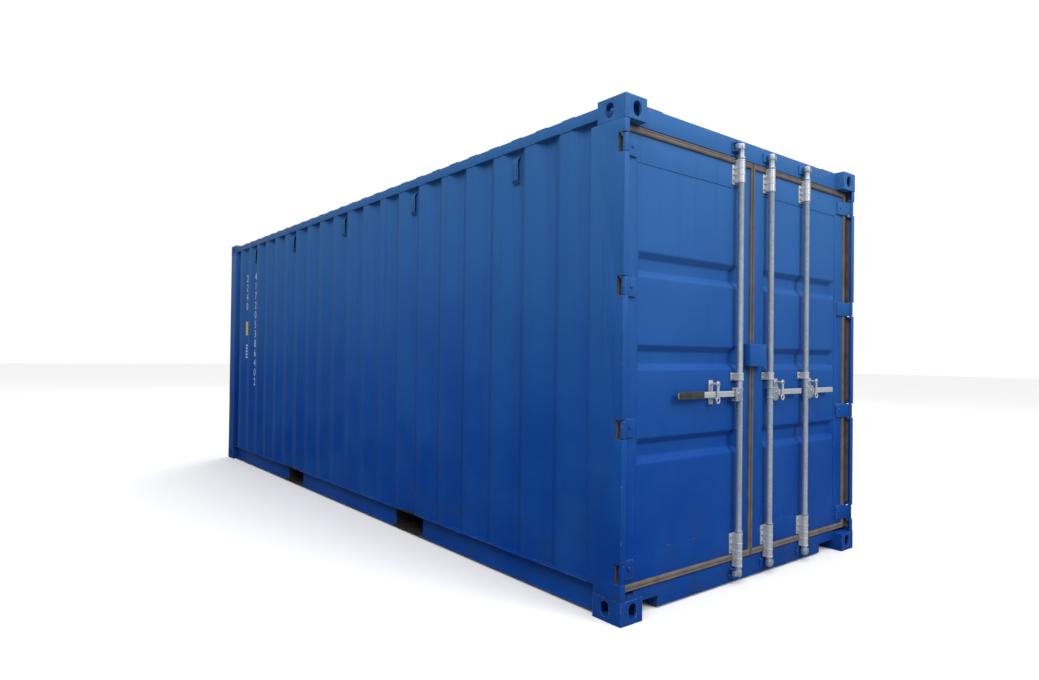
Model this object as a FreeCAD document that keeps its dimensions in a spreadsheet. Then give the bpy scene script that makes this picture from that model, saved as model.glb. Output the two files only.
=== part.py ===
import FreeCAD, Part
import os
import re
import Sketcher

# Twenty foot steel shipping container with two end doors, in millimetres.
# Origin: centre of the footprint on the ground. +Z up, +Y towards the closed end,
# so the doors are at the low Y end and the left door is on the low X side.
# Depths called D in the names are measured back from the front of the castings.

sizes = {
    # outside
    "length": 6058, "width": 2438, "height": 2591,
    # corner castings
    "casting_length": 178, "casting_width": 162, "casting_height": 118,
    "casting_wall": 14, "casting_cap": 28,
    "slot_from_side": 89, "slot_from_end": 101, "slot_from_cap": 62,
    "end_slot_width": 63, "side_slot_width": 52, "face_slot_height": 79,
    "cap_slot_length": 124, "cap_slot_width": 63.5,
    # posts, rails, header and sill
    "plate": 6, "post_setback": 2, "post_lip": 36, "post_reach": 219,
    "channel_clear": 4, "channel_width": 47, "front_return": 62,
    "top_rail_size": 60, "top_rail_inset": 8, "top_rail_drop": 25, "tube_wall": 3,
    "bottom_rail_top": 160, "bottom_rail_low": 15, "bottom_rail_inset": 7,
    "bottom_rail_web": 55, "bottom_rail_wall": 4.5, "bottom_rail_lip": 30,
    "face_depth": 56, "header_drop": 116, "header_top_gap": 8, "header_wall": 4,
    "sill_top": 129, "sill_low": 12.5, "sill_wall": 5,
    "sill_notch_length": 196, "sill_notch_top": 68,
    "front_rail_setback": 11,
    # corrugated sheets
    "sheet": 2, "wall_pitch": 278, "wall_crest": 72, "wall_slope": 68, "wall_deep": 36,
    "wall_inset": 10, "wall_edge": 128,
    "end_pitch": 250, "end_crest": 110, "end_slope": 30, "end_deep": 43, "end_inset": 15,
    "end_edge": 97,
    "roof_pitch": 209, "roof_crest": 91, "roof_slope": 16, "roof_deep": 16, "roof_edge": 177,
    "corner_plate_length": 200, "corner_plate_wall": 4,
    # floor and understructure
    "floor_low": 150, "floor_thick": 28, "member_low": 24, "member_width": 45,
    "member_wall": 4, "member_pitch": 290,
    "pocket_centre": 1050, "pocket_width": 360, "pocket_low": 20, "pocket_wall": 6,
    "pocket_strap": 250,
    # doors
    "door_low": 172, "door_drop": 159, "door_edge": 59, "door_gap": 20, "door_thick": 50,
    "stile": 110, "top_member": 139, "bottom_member": 144, "door_wall": 4,
    "press_height": 130, "press_pitch": 476, "press_edge": 6,
    "press_slope": 34, "press_deep": 28,
    "seal_set": 4, "seal_thick": 24, "seal_gap": 4.5, "seal_reach": 36, "seal_side": 30,
    "seal_lip_lead": 12, "seal_lip_side": 47, "seal_lip_low": 8,
    # hinges
    "pivot_inset": 20, "pivot_depth": 15, "pin_radius": 6.5, "knuckle_radius": 13,
    "pin_clear": 0.5, "hinge_tall": 90, "hinge_clear": 3, "hinge_low": 248,
    "hinge_drop": 237, "notch_depth": 44, "lug_gap": 2, "lug_thick": 12, "lug_depth": 30, "lug_width": 28,
    "blade_thick": 12, "blade_reach": 127, "blade_root": 5, "blade_skew": 2,
    # lock bars and what carries them
    "bar_one": -166, "bar_two": 166, "bar_three": 596, "bar_depth": 24,
    "bar_radius": 17, "bar_wall": 3.3, "bar_low": 50, "bar_drop": 43, "bar_clear": 0.5,
    "cam_wall": 3, "cam_tall": 30, "cam_reach": 42, "cam_front": 8, "cam_back": 12,
    "cam_low": 55, "cam_drop": 78, "collar_wall": 4.5, "collar_tall": 10,
    "collar_clear": 3,
    "keeper_wide": 46, "keeper_base": 8, "keeper_ear": 8, "keeper_clear": 5,
    "keeper_ear_depth": 26, "keeper_side": 6,
    "housing_side": 4.5, "housing_wall": 2.5, "flange_half": 46, "flange_thick": 6,
    "top_flange_tall": 115, "top_flange_drop": 166, "top_housing_over": 30, "top_housing_lift": 10,
    "low_flange": 180, "low_flange_tall": 115, "low_housing": 105, "low_housing_over": 5,
    "guide_low": 1176, "guide_tall": 44,
    # handles, their hubs, ledges and catches
    "handle_height": 1102, "handle_tall": 33, "handle_thick": 7, "handle_front": 15,
    "hub_start": 8, "hub_end": 66, "hub_front": 6, "hub_back": 32, "hub_low": 1059,
    "hub_tall": 76, "hub_slot": 20, "hub_pivot": 40, "hub_pin": 6, "hub_clear": 2.5,
    "reach_one": 586, "reach_two": 361, "reach_three": 351,
    "grip_long": 223, "grip_wall": 4,
    "catch_one": 243, "catch_two": 115, "catch_three": 107,
    "ledge_half": 17, "ledge_front": 15, "ledge_thick": 6, "ledge_gap": 2.5,
    "rest_half": 19, "rest_low": 1046, "rest_tall": 134,
    "catch_height": 1160, "catch_pin": 7, "catch_ring": 16, "catch_front": 4,
    "catch_thick": 6, "catch_half": 9, "catch_drop": 91, "catch_foot": 19, "catch_hole": 10,
    # lock box and staple
    "box_half": 88, "box_low": 1258, "box_tall": 131, "box_front": 5, "box_back": 51,
    "box_wall": 4, "staple_place": 58, "staple_thick": 10, "staple_front": 25,
    "staple_low": 1280, "staple_tall": 56, "staple_hole": 9, "staple_hole_lead": 3,
    # vents
    "vent_wide": 52, "vent_low": 2308, "vent_tall": 173, "vent_slope": 30, "vent_deep": 25,
    "vent_first": 1, "vent_step": 4,
    # how far a cutting block runs past the face that it opens
    "past": 1,
}

doc = FreeCAD.newDocument("container")
sheet = doc.addObject("Spreadsheet::Sheet", "Sizes")
for row, (alias, number) in enumerate(sizes.items(), start=1):
    sheet.set("A%d" % row, alias)
    sheet.set("B%d" % row, str(number))
    sheet.setAlias("B%d" % row, alias)
doc.recompute()

nodes = []


def formula(text):
    """The same text with each size's name pointing at its cell."""
    def point(match):
        word = match.group(0)
        return "Sizes." + word if word in sizes else word
    return re.sub(r"[a-z][a-z_]*", point, text)


def value(text):
    return float(sheet.evalExpression(formula(text)))


def bind(thing, **texts):
    for name, text in texts.items():
        thing.setExpression(name.replace("_dot_", "."), formula(text))


def move(thing, x="0", y="0", z="0"):
    bind(thing, Placement_dot_Base_dot_x=x, Placement_dot_Base_dot_y=y, Placement_dot_Base_dot_z=z)


def block(x, y, z):
    """A box between a low and a high value on each axis."""
    solid = doc.addObject("Part::Box", "block")
    move(solid, x[0], y[0], z[0])
    sides = ["(%s)-(%s)" % (high, low) for low, high in (x, y, z)]
    bind(solid, Length=sides[0], Width=sides[1], Height=sides[2])
    return solid


def rod(x, y, z, radius, axis="z"):
    """A cylinder. The pair of values is on its own axis, one value on the others."""
    solid = doc.addObject("Part::Cylinder", "rod")
    span = {"x": x, "y": y, "z": z}[axis]
    if axis == "x":
        solid.Placement = FreeCAD.Placement(FreeCAD.Vector(), FreeCAD.Rotation(0, 90, 0))
        move(solid, span[0], y, z)
    elif axis == "y":
        turn = FreeCAD.Rotation(FreeCAD.Vector(1, 0, 0), -90)
        solid.Placement = FreeCAD.Placement(FreeCAD.Vector(), turn)
        move(solid, x, span[0], z)
    else:
        move(solid, x, y, span[0])
    bind(solid, Radius=radius, Height="(%s)-(%s)" % (span[1], span[0]))
    return solid


def slot(x, y, z, radius, reach, axis, long):
    """A through slot with round ends: two rods and the block between them."""
    centre = {"x": x, "y": y, "z": z}
    ends = []
    for sign in ("+", "-"):
        place = dict(centre)
        place[long] = "%s%s(%s)" % (centre[long], sign, reach)
        ends.append(rod(place["x"], place["y"], place["z"], radius, axis))
    box_span = {}
    for name in "xyz":
        if name == axis:
            box_span[name] = centre[name]
        else:
            half = reach if name == long else radius
            box_span[name] = ("%s-(%s)" % (centre[name], half), "%s+(%s)" % (centre[name], half))
    return join(ends + [block(box_span["x"], box_span["y"], box_span["z"])])


def join(solids):
    whole = doc.addObject("Part::MultiFuse", "join")
    whole.Shapes = solids
    return whole


def cut(base, tools):
    result = doc.addObject("Part::Cut", "cut")
    result.Base = base
    result.Tool = tools[0] if len(tools) == 1 else join(tools)
    return result


def mirror(solid, normal):
    """The other hand of a solid, across a plane through the origin."""
    copy = doc.addObject("Part::Mirroring", "mirror")
    copy.Source = solid
    copy.Normal = FreeCAD.Vector(*normal)
    return copy


def group(solids):
    """Like pieces that share one node and don't touch."""
    result = doc.addObject("Part::Compound", "group")
    result.Links = solids
    return result


def node(label, thing):
    thing.Label = label
    nodes.append(thing)
    return thing


def origin(body, role):
    return next(feature for feature in body.Origin.OriginFeatures if feature.Role == role)


def outline(body, role, points):
    """A closed sketch of straight lines, each corner bound to the sheet."""
    sketch = body.newObject("Sketcher::SketchObject", "outline")
    sketch.AttachmentSupport = [(origin(body, role), "")]
    sketch.MapMode = "FlatFace"
    spots = [(value(a), value(b)) for a, b in points]
    count = len(points)
    for index in range(count):
        start = FreeCAD.Vector(*spots[index])
        end = FreeCAD.Vector(*spots[(index + 1) % count])
        sketch.addGeometry(Part.LineSegment(start, end), False)
    for index in range(count):
        sketch.addConstraint(Sketcher.Constraint("Coincident", index, 2, (index + 1) % count, 1))
    for index, pair in enumerate(points):
        for kind, text, number, line in zip(("DistanceX", "DistanceY"), pair, spots[index], (-2, -1)):
            if abs(number) < 1e-9:
                sketch.addConstraint(Sketcher.Constraint("PointOnObject", index, 1, line))
            else:
                held = sketch.addConstraint(Sketcher.Constraint(kind, -1, 1, index, 1, number))
                sketch.setExpression("Constraints[%d]" % held, formula(text))
    return sketch


def pad(body, role, points, long):
    feature = body.newObject("PartDesign::Pad", "pad")
    feature.Profile = outline(body, role, points)
    bind(feature, Length=long)
    return feature


def prism(role, points, span):
    """A section pushed along the third axis, between the two values of the span."""
    body = doc.addObject("PartDesign::Body", "prism")
    pad(body, role, points, "(%s)-(%s)" % (span[1], span[0]))
    if role == "XY_Plane":
        move(body, z=span[0])
    elif role == "YZ_Plane":
        move(body, x=span[0])
    else:
        move(body, y=span[1])
    return body


def waves(role, along, names, span, height, swap=False):
    """Trapezoid sheet: flat edge, whole pitches, flat edge, with its crests at the face."""
    pitch, crest, slope, deep, edge, face = names
    start = "(%s+%s)" % (span[0], edge)
    count = "floor((%s-%s)/%s)" % (span[1], start, pitch)
    end = "(%s+%s*%s)" % (start, count, pitch)
    crest_level = face
    trough_level = "%s-%s" % (face, deep)
    stations = ["0", slope, slope + "+" + crest, "2*" + slope + "+" + crest, pitch]
    levels = [trough_level, crest_level, crest_level, trough_level, trough_level]
    upper = [(start + "+" + place, level) for place, level in zip(stations, levels)]
    lower = [(place, level + "-sheet") for place, level in upper[::-1]]

    def corners(points):
        return [(level, place) for place, level in points] if swap else points

    body = doc.addObject("PartDesign::Body", "waves")
    unit = pad(body, role, corners(upper + lower), height)
    many = body.newObject("PartDesign::LinearPattern", "many")
    many.Originals = [unit]
    many.Direction = (origin(body, along), [""])
    bind(many, Length="(%s-1)*%s" % (count, pitch), Occurrences=count)
    body.Tip = many
    doc.recompute()
    for low_end, high_end in ((span[0], start), (end, span[1])):
        flat = [(low_end, trough_level), (high_end, trough_level),
                (high_end, trough_level + "-sheet"), (low_end, trough_level + "-sheet")]
        pad(body, role, corners(flat), height)
    return body


# places worked out from the sizes
side = "width/2"
front = "-length/2"
back = "length/2"
door_face = "(-length/2+face_depth)"
inner_x = "(width/2-casting_width)"
inner_y = "(length/2-casting_length)"
post_low = "casting_height"
post_high = "(height-casting_height)"
top_rail_high = "(height-top_rail_drop)"
top_rail_low = "(height-top_rail_drop-top_rail_size)"
web_in = "(width/2-bottom_rail_web-bottom_rail_wall)"
web_out = "(width/2-bottom_rail_web)"
floor_high = "(floor_low+floor_thick)"
pocket_span = ("pocket_centre-pocket_width/2", "pocket_centre+pocket_width/2")
front_rail_y = "(length/2-front_rail_setback)"
header_low = "(height-header_drop)"
header_high = "(height-header_top_gap)"
door_high = "(height-door_drop)"
door_out = "(width/2-door_edge)"
door_middle = "((door_low+height-door_drop)/2)"
pivot_x = "(width/2-pivot_inset)"
pivot_y = "(-length/2+pivot_depth)"
bar_y = "(-length/2+bar_depth)"
cam_top_low = "(height-cam_drop)"


def depth(text):
    return "(-length/2+%s)" % text


def hinge_heights():
    low = "hinge_low"
    step = "(height-hinge_drop-hinge_low)/3"
    return ["(%s+%d*%s)" % (low, index, step) for index in range(4)]


def corner_castings():
    """Hollow cast corner with an opening in each of its three outer faces."""
    x_low = inner_x
    z_low = "(height-casting_height)"
    y_high = "(%s+casting_length)" % front
    shell = block((x_low, side), (front, y_high), (z_low, "height"))
    room = block(
        (x_low + "+casting_wall", side + "-casting_wall"),
        (front + "+casting_wall", y_high + "-casting_wall"),
        (z_low + "+casting_wall", "height-casting_cap"))
    slot_x = "(width/2-slot_from_side)"
    slot_y = "(-length/2+slot_from_end)"
    slot_z = "(height-slot_from_cap)"
    end_slot = slot(slot_x, (front + "-past", slot_y), slot_z, "end_slot_width/2",
                    "(face_slot_height-end_slot_width)/2", "y", "z")
    side_slot = slot((slot_x, side + "+past"), slot_y, slot_z, "side_slot_width/2",
                     "(face_slot_height-side_slot_width)/2", "x", "z")
    cap_slot = slot(slot_x, slot_y, (slot_z, "height+past"), "cap_slot_width/2",
                    "(cap_slot_length-cap_slot_width)/2", "z", "y")
    first = cut(shell, [room, end_slot, side_slot, cap_slot])
    top = [first, mirror(first, (1, 0, 0))]
    top += [mirror(item, (0, 1, 0)) for item in list(top)]
    node("corner_castings_top", group(top))
    low = []
    for item in top:
        copy = mirror(item, (0, 0, 1))
        lifted = doc.addObject("Part::Compound", "lifted")
        lifted.Links = [copy]
        move(lifted, z="height")
        low.append(lifted)
    node("corner_castings_bottom", group(low))


def door_posts():
    """Bent outer plate and welded inner channel, cut open where the hinges swing."""
    lip_y = depth("post_setback")
    lip_back = depth("post_setback+plate")
    heel = depth("post_reach")
    channel_face = door_face + "+seal_set+seal_thick+channel_clear"
    outer = [
        (side, lip_y), (side, heel), (side + "-wall_inset-wall_deep", heel),
        (side + "-wall_inset-wall_deep", heel + "-plate"), (side + "-plate", heel + "-plate"),
        (side + "-plate", lip_back), (side + "-post_lip", lip_back), (side + "-post_lip", lip_y)]
    channel = [
        (side + "-plate", channel_face), (side + "-channel_width", channel_face),
        (side + "-channel_width", depth("casting_length")),
        (side + "-plate", depth("casting_length")),
        (side + "-plate", depth("casting_length-plate")),
        (side + "-channel_width+plate", depth("casting_length-plate")),
        (side + "-channel_width+plate", channel_face + "+plate"),
        (side + "-plate", channel_face + "+plate")]
    body = doc.addObject("PartDesign::Body", "post")
    move(body, z=post_low)
    for points in (outer, channel):
        pad(body, "XY_Plane", points, "(%s)-(%s)" % (post_high, post_low))
    reach = "(hinge_tall/2+hinge_clear)"
    notches = [
        block((side + "-post_lip-past", side + "+past"), (front, depth("notch_depth")),
              (height + "-" + reach, height + "+" + reach)) for height in hinge_heights()]
    foot = block((web_in, side + "+past"), (depth("casting_length"), heel + "+past"),
                 (post_low + "-past", "bottom_rail_top"))
    right = node("door_post_right", cut(body, notches + [foot]))
    node("door_post_left", mirror(right, (1, 0, 0)))


def front_posts():
    lip = side + "-wall_inset-wall_deep-sheet"
    end_out = back + "-post_setback"
    points = [
        (side, inner_y), (side, end_out), (inner_x, end_out), (inner_x, end_out + "-front_return"),
        (inner_x + "+plate", end_out + "-front_return"), (inner_x + "+plate", end_out + "-plate"),
        (side + "-plate", end_out + "-plate"), (side + "-plate", inner_y + "+plate"),
        (lip, inner_y + "+plate"), (lip, inner_y)]
    right = node("front_post_right", prism("XY_Plane", points, (post_low, post_high)))
    node("front_post_left", mirror(right, (1, 0, 0)))


def door_header():
    span = ("-" + inner_x, inner_x)
    shell = block(span, (door_face, "-" + inner_y), (header_low, header_high))
    room = block(span, (door_face + "+header_wall", "-" + inner_y + "-header_wall"),
                 (header_low + "+header_wall", header_high + "-header_wall"))
    node("door_header", cut(shell, [room]))


def door_sill():
    """Channel open to the rear, with a recess beside both castings."""
    span = ("-" + inner_x, inner_x)
    rear = "-" + inner_y
    shell = block(span, (door_face, rear), ("sill_low", "sill_top"))
    room = block(span, (door_face + "+sill_wall", rear + "+past"),
                 ("sill_low+sill_wall", "sill_top-sill_wall"))
    start = "(%s-sill_notch_length)" % inner_x
    notch = block((start, inner_x + "+past"), (door_face + "-past", rear + "+past"),
                  ("sill_low-past", "sill_notch_top"))
    beam = cut(shell, [room, notch, mirror(notch, (1, 0, 0))])
    lip = block((start, inner_x), (door_face, rear), ("sill_notch_top", "sill_notch_top+sill_wall"))
    stop = block((start, inner_x), (rear + "-sill_wall", rear), ("sill_low", "sill_notch_top+sill_wall"))
    end = block((start + "-sill_wall", start), (door_face, rear), ("sill_low", "sill_top-past"))
    extras = [lip, stop, end]
    node("door_sill", join([beam] + extras + [mirror(item, (1, 0, 0)) for item in extras]))


def top_side_rails():
    out = side + "-top_rail_inset"
    inside = out + "-top_rail_size"
    span = ("-" + inner_y, inner_y)
    shell = block((inside, out), span, (top_rail_low, top_rail_high))
    room = block((inside + "+tube_wall", out + "-tube_wall"), span,
                 (top_rail_low + "+tube_wall", top_rail_high + "-tube_wall"))
    right = node("top_side_rail_right", cut(shell, [room]))
    node("top_side_rail_left", mirror(right, (1, 0, 0)))


def bottom_side_rails():
    """Channel with its flanges outwards, in three lengths between the fork pockets."""
    lip = side + "-bottom_rail_inset"
    points = [
        (web_in, "bottom_rail_low"), (web_out + "+bottom_rail_lip", "bottom_rail_low"),
        (web_out + "+bottom_rail_lip", "bottom_rail_low+bottom_rail_wall"),
        (web_out, "bottom_rail_low+bottom_rail_wall"), (web_out, "bottom_rail_top-bottom_rail_wall"),
        (lip, "bottom_rail_top-bottom_rail_wall"), (lip, "bottom_rail_top"),
        (web_in, "bottom_rail_top")]
    beam = prism("XZ_Plane", points, ("-" + inner_y, inner_y))
    gap = block((web_in + "-past", side), pocket_span, ("0", "bottom_rail_top+past"))
    right = node("bottom_side_rail_right", cut(beam, [gap, mirror(gap, (0, 1, 0))]))
    node("bottom_side_rail_left", mirror(right, (1, 0, 0)))


def front_top_rail():
    """Square tube with the flat plate that closes the roof between the castings."""
    span = ("-" + inner_x, inner_x)
    low_y = front_rail_y + "-top_rail_size"
    shell = block(span, (low_y, front_rail_y), (top_rail_low, top_rail_high))
    room = block(span, (low_y + "+tube_wall", front_rail_y + "-tube_wall"),
                 (top_rail_low + "+tube_wall", top_rail_high + "-tube_wall"))
    plate = block(span, (inner_y, front_rail_y), (top_rail_high, top_rail_high + "+tube_wall"))
    node("front_top_rail", join([cut(shell, [room]), plate]))


def front_sill():
    span = ("-" + inner_x, inner_x)
    low_y = front_rail_y + "-top_rail_size"
    shell = block(span, (low_y, front_rail_y), ("bottom_rail_low", "casting_height"))
    room = block(span, (low_y + "+tube_wall", front_rail_y + "-tube_wall"),
                 ("bottom_rail_low+tube_wall", "casting_height-tube_wall"))
    node("front_sill", cut(shell, [room]))


def side_walls():
    names = ("wall_pitch", "wall_crest", "wall_slope", "wall_deep", "wall_edge", side + "-wall_inset")
    span = ("-" + inner_y, inner_y)
    right = waves("XY_Plane", "Y_Axis", names, span, top_rail_low + "-bottom_rail_top", swap=True)
    move(right, z="bottom_rail_top")
    node("side_wall_right", right)
    node("side_wall_left", mirror(right, (1, 0, 0)))


def front_wall():
    names = ("end_pitch", "end_crest", "end_slope", "end_deep", "end_edge", back + "-end_inset")
    span = ("-" + inner_x, inner_x)
    body = waves("XY_Plane", "X_Axis", names, span, top_rail_low + "-casting_height")
    move(body, z="casting_height")
    node("front_wall", body)


def roof():
    face = top_rail_high + "+roof_deep+sheet"
    names = ("roof_pitch", "roof_crest", "roof_slope", "roof_deep", "roof_edge", face)
    span = ("-" + inner_y, inner_y)
    reach = "(%s-top_rail_inset-top_rail_size)" % side
    body = waves("YZ_Plane", "Y_Axis", names, span, "2*%s+top_rail_size" % reach)
    move(body, x="-%s-top_rail_size/2" % reach)
    node("roof_panel", body)
    start = "(%s-corner_plate_length)" % inner_x
    plates = [
        block((start, inner_x), (door_face, "-" + inner_y),
              (header_high, header_high + "+corner_plate_wall")),
        block((start, inner_x), (inner_y, front_rail_y),
              (top_rail_high + "+tube_wall", top_rail_high + "+tube_wall+corner_plate_wall"))]
    node("roof_corner_plates", group(plates + [mirror(item, (1, 0, 0)) for item in plates]))


def floor_parts():
    """Boards, the channels under them, and the two tunnels for a lift truck's forks.

    Each tunnel carries the stretch of side rail over and under its mouths.
    """
    span = ("-" + web_in, web_in)
    rear = front_rail_y + "-top_rail_size"
    node("floor", block(span, ("-" + inner_y, rear), ("floor_low", floor_high)))
    channels = []
    start = -value(inner_y) + value("member_pitch") / 2
    count = int((2 * value(inner_y) - value("member_pitch")) / value("member_pitch"))
    half = value("pocket_width/2+pocket_wall+member_width")
    for index in range(count + 1):
        place = start + index * value("member_pitch")
        if abs(abs(place + value("member_width/2")) - value("pocket_centre")) < half:
            continue
        low_y = "(-%s+member_pitch*%s)" % (inner_y, index + 0.5)
        shell = block(span, (low_y, low_y + "+member_width"), ("member_low", "floor_low"))
        room = block(span, (low_y + "+member_wall", low_y + "+member_width+past"),
                     ("member_low+member_wall", "floor_low-member_wall"))
        channels.append(cut(shell, [room]))
    node("cross_members", group(channels))
    shell = block(span, (pocket_span[0] + "-pocket_wall", pocket_span[1] + "+pocket_wall"),
                  ("pocket_low", "floor_low"))
    room = block(span, pocket_span, ("pocket_low-past", "floor_low-pocket_wall"))
    ends = [
        block((web_in + "-pocket_strap", web_in), pocket_span,
              ("pocket_low", "pocket_low+pocket_wall")),
        block((web_in, web_out + "+bottom_rail_lip"), pocket_span,
              ("bottom_rail_low", "pocket_low+pocket_wall")),
        block((web_in, web_out), pocket_span, ("floor_low-pocket_wall", "bottom_rail_top")),
        block((web_out, side + "-bottom_rail_inset"), pocket_span,
              ("bottom_rail_top-bottom_rail_wall", "bottom_rail_top"))]
    tunnel = join([cut(shell, [room])] + ends + [mirror(end, (1, 0, 0)) for end in ends])
    node("fork_pockets", group([tunnel, mirror(tunnel, (0, 1, 0))]))


def vents():
    """Hooded vents in the wall troughs, open on the side that faces the doors."""
    wall = side + "-wall_inset-wall_deep"
    first = "(-%s+wall_edge+wall_slope*2+wall_crest+(wall_pitch-wall_crest-2*wall_slope)/2)" % inner_y
    hoods = []
    for index in range(5):
        centre = "(%s+wall_pitch*(vent_first+%d*vent_step))" % (first, index)
        span = (centre + "-vent_wide/2", centre + "+vent_wide/2")

        def section(gap):
            return [(wall, "vent_low+" + gap), (wall + "+vent_deep-" + gap, "vent_low+vent_slope+" + gap),
                    (wall + "+vent_deep-" + gap, "vent_low+vent_tall-vent_slope-" + gap),
                    (wall, "vent_low+vent_tall-" + gap)]

        hood = prism("XZ_Plane", section("0"), span)
        room = prism("XZ_Plane", section("sheet"), (span[0] + "-past", span[1] + "-sheet"))
        hoods.append(cut(hood, [room]))
    node("vents_right", group(hoods))
    node("vents_left", group([mirror(hood, (1, 0, 0)) for hood in hoods]))


def ahead(centre, sign, near, far):
    """The span between two distances from a centre, on one side of it."""
    if sign > 0:
        return ("%s+(%s)" % (centre, near), "%s+(%s)" % (centre, far))
    return ("%s-(%s)" % (centre, far), "%s-(%s)" % (centre, near))


def hinge_pins():
    """Each pin with the two lugs that hold it inside the post."""
    pins = []
    low_lug = "(hinge_tall/2+hinge_clear+lug_gap)"
    for height in hinge_heights():
        span = (height + "-" + low_lug + "-lug_thick", height + "+" + low_lug + "+lug_thick")
        pin = rod(pivot_x, pivot_y, span, "pin_radius")
        lugs = []
        for sign in (1, -1):
            lugs.append(block((side + "-plate-lug_width", side + "-plate"),
                              (depth("post_setback+plate"), depth("lug_depth")),
                              ahead(height, sign, low_lug, low_lug + "+lug_thick")))
        pins.append(join([pin] + lugs))
    node("hinge_pins", group(pins + [mirror(pin, (1, 0, 0)) for pin in pins]))


def hinge_blades():
    """Cranked straps: knuckle on the pin, arm through the post, blade on the door face."""
    reach = "(face_depth-pivot_depth)"
    blades = []
    for height in hinge_heights():
        span = (height + "-hinge_tall/2", height + "+hinge_tall/2")
        shape = [
            (pivot_x + "-blade_root", pivot_y + "-blade_root"),
            (pivot_x + "-%s+blade_skew" % reach, door_face + "-blade_thick"),
            (pivot_x + "-blade_reach", door_face + "-blade_thick"), (pivot_x + "-blade_reach", door_face),
            (pivot_x + "-%s+blade_thick-blade_skew" % reach, door_face),
            (pivot_x + "+blade_root", pivot_y + "+blade_root")]
        strap = prism("XY_Plane", shape, span)
        knuckle = rod(pivot_x, pivot_y, span, "knuckle_radius")
        bore = rod(pivot_x, pivot_y, (span[0] + "-past", span[1] + "+past"), "pin_radius+pin_clear")
        blades.append(cut(join([strap, knuckle]), [bore]))
    node("hinge_blades_right", group(blades))
    node("hinge_blades_left", group([mirror(blade, (1, 0, 0)) for blade in blades]))


def doors():
    """Frame of channels open to the rear, pressed panel and the seal round the edge."""
    rear = door_face + "+door_thick"
    inset = "door_wall"
    outer = block(("door_gap", door_out), (door_face, rear), ("door_low", door_high))
    window_x = ("door_gap+stile", door_out + "-stile")
    window_z = ("door_low+bottom_member", door_high + "-top_member")
    window = block(window_x, (door_face + "-past", rear + "+past"), window_z)
    trough = cut(
        block(("door_gap+" + inset, door_out + "-" + inset), (door_face + "+" + inset, rear + "+past"),
              ("door_low+" + inset, door_high + "-" + inset)),
        [block((window_x[0] + "-" + inset, window_x[1] + "+" + inset), (door_face, rear + "+2*past"),
               (window_z[0] + "-" + inset, window_z[1] + "+" + inset))])
    frame = node("door_frame_right", cut(outer, [window, trough]))
    node("door_frame_left", mirror(frame, (1, 0, 0)))

    plate = block(window_x, (door_face, door_face + "+sheet"), window_z)
    pans = []
    rooms = []
    for index in (-1, 0, 1):
        centre = "(%s+%d*press_pitch)" % (door_middle, index)
        for kind, grow, start in (("outer", "sheet", door_face + "+sheet/2"), ("inner", "0", door_face)):
            pan = doc.addObject("Part::Wedge", kind)
            move(pan, y=start)
            reach = "press_deep+" + grow + ("-sheet/2" if kind == "outer" else "")
            bind(pan, Ymin="0", Ymax=reach,
                 Xmin=window_x[0] + "+press_edge-" + grow, Xmax=window_x[1] + "-press_edge+" + grow,
                 Zmin=centre + "-press_height/2-" + grow, Zmax=centre + "+press_height/2+" + grow,
                 X2min=window_x[0] + "+press_edge+press_slope-" + grow,
                 X2max=window_x[1] + "-press_edge-press_slope+" + grow,
                 Z2min=centre + "-press_height/2+press_slope-" + grow,
                 Z2max=centre + "+press_height/2-press_slope+" + grow)
            (pans if kind == "outer" else rooms).append(pan)
    panel = node("door_panel_right", cut(join([plate] + pans), rooms))
    node("door_panel_left", mirror(panel, (1, 0, 0)))

    seal_y = (door_face + "+seal_set", door_face + "+seal_set+seal_thick")
    ring = block(("seal_gap", door_out + "+seal_side"), seal_y,
                 ("door_low-seal_reach", door_high + "+seal_reach"))
    core = block(("door_gap", door_out), (seal_y[0] + "-past", seal_y[1] + "+past"), ("door_low", door_high))
    lips = []
    stops = ["door_low-seal_reach"]
    for height in hinge_heights():
        stops += ["%s-hinge_tall/2-seal_lip_low" % height, "%s+hinge_tall/2+seal_lip_low" % height]
    stops.append(door_high + "+seal_reach")
    for low, high in zip(stops[0::2], stops[1::2]):
        lips.append(block((door_out, door_out + "+seal_lip_side"), (door_face + "-seal_lip_lead", seal_y[0]),
                          (low, high)))
        lips.append(block((door_out + "+seal_side", door_out + "+seal_lip_side"), seal_y, (low, high)))
    seal = node("door_seal_right", join([cut(ring, [core])] + lips))
    node("door_seal_left", mirror(seal, (1, 0, 0)))


def housing(x, plate, body):
    """A flange on the door face with a bored block for the lock bar in front of it."""
    flange_y = door_face + "-flange_thick"
    flange = block((x + "-flange_half", x + "+flange_half"), (flange_y, door_face), plate)
    bore_radius = "(bar_radius+bar_clear)"
    half = "(bar_radius+bar_clear+housing_side)"
    shell = block((x + "-" + half, x + "+" + half),
                  (bar_y + "-" + bore_radius + "-housing_wall", flange_y), body)
    bore = rod(x, bar_y, (body[0] + "-past", body[1] + "+past"), bore_radius)
    return join([flange, cut(shell, [bore])])


def bar_brackets(name, bars):
    """Housings that hold the lock bars at the top and bottom of a door."""
    pieces = []
    for x in bars:
        top_low = "(height-top_flange_drop-top_flange_tall)"
        top_high = top_low + "+top_flange_tall"
        low_high = "low_flange+low_flange_tall"
        spans = [
            ((top_low, top_high), (top_low + "+top_housing_lift", top_high + "+top_housing_over")),
            (("low_flange", low_high), ("low_housing", low_high + "+low_housing_over"))]
        for plate, body in spans:
            pieces.append(housing(x, plate, body))
    node(name, group(pieces))


def bar_guides(name, bars):
    pieces = []
    span = ("guide_low", "guide_low+guide_tall")
    for x in bars:
        pieces.append(housing(x, span, span))
    node(name, group(pieces))


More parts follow.
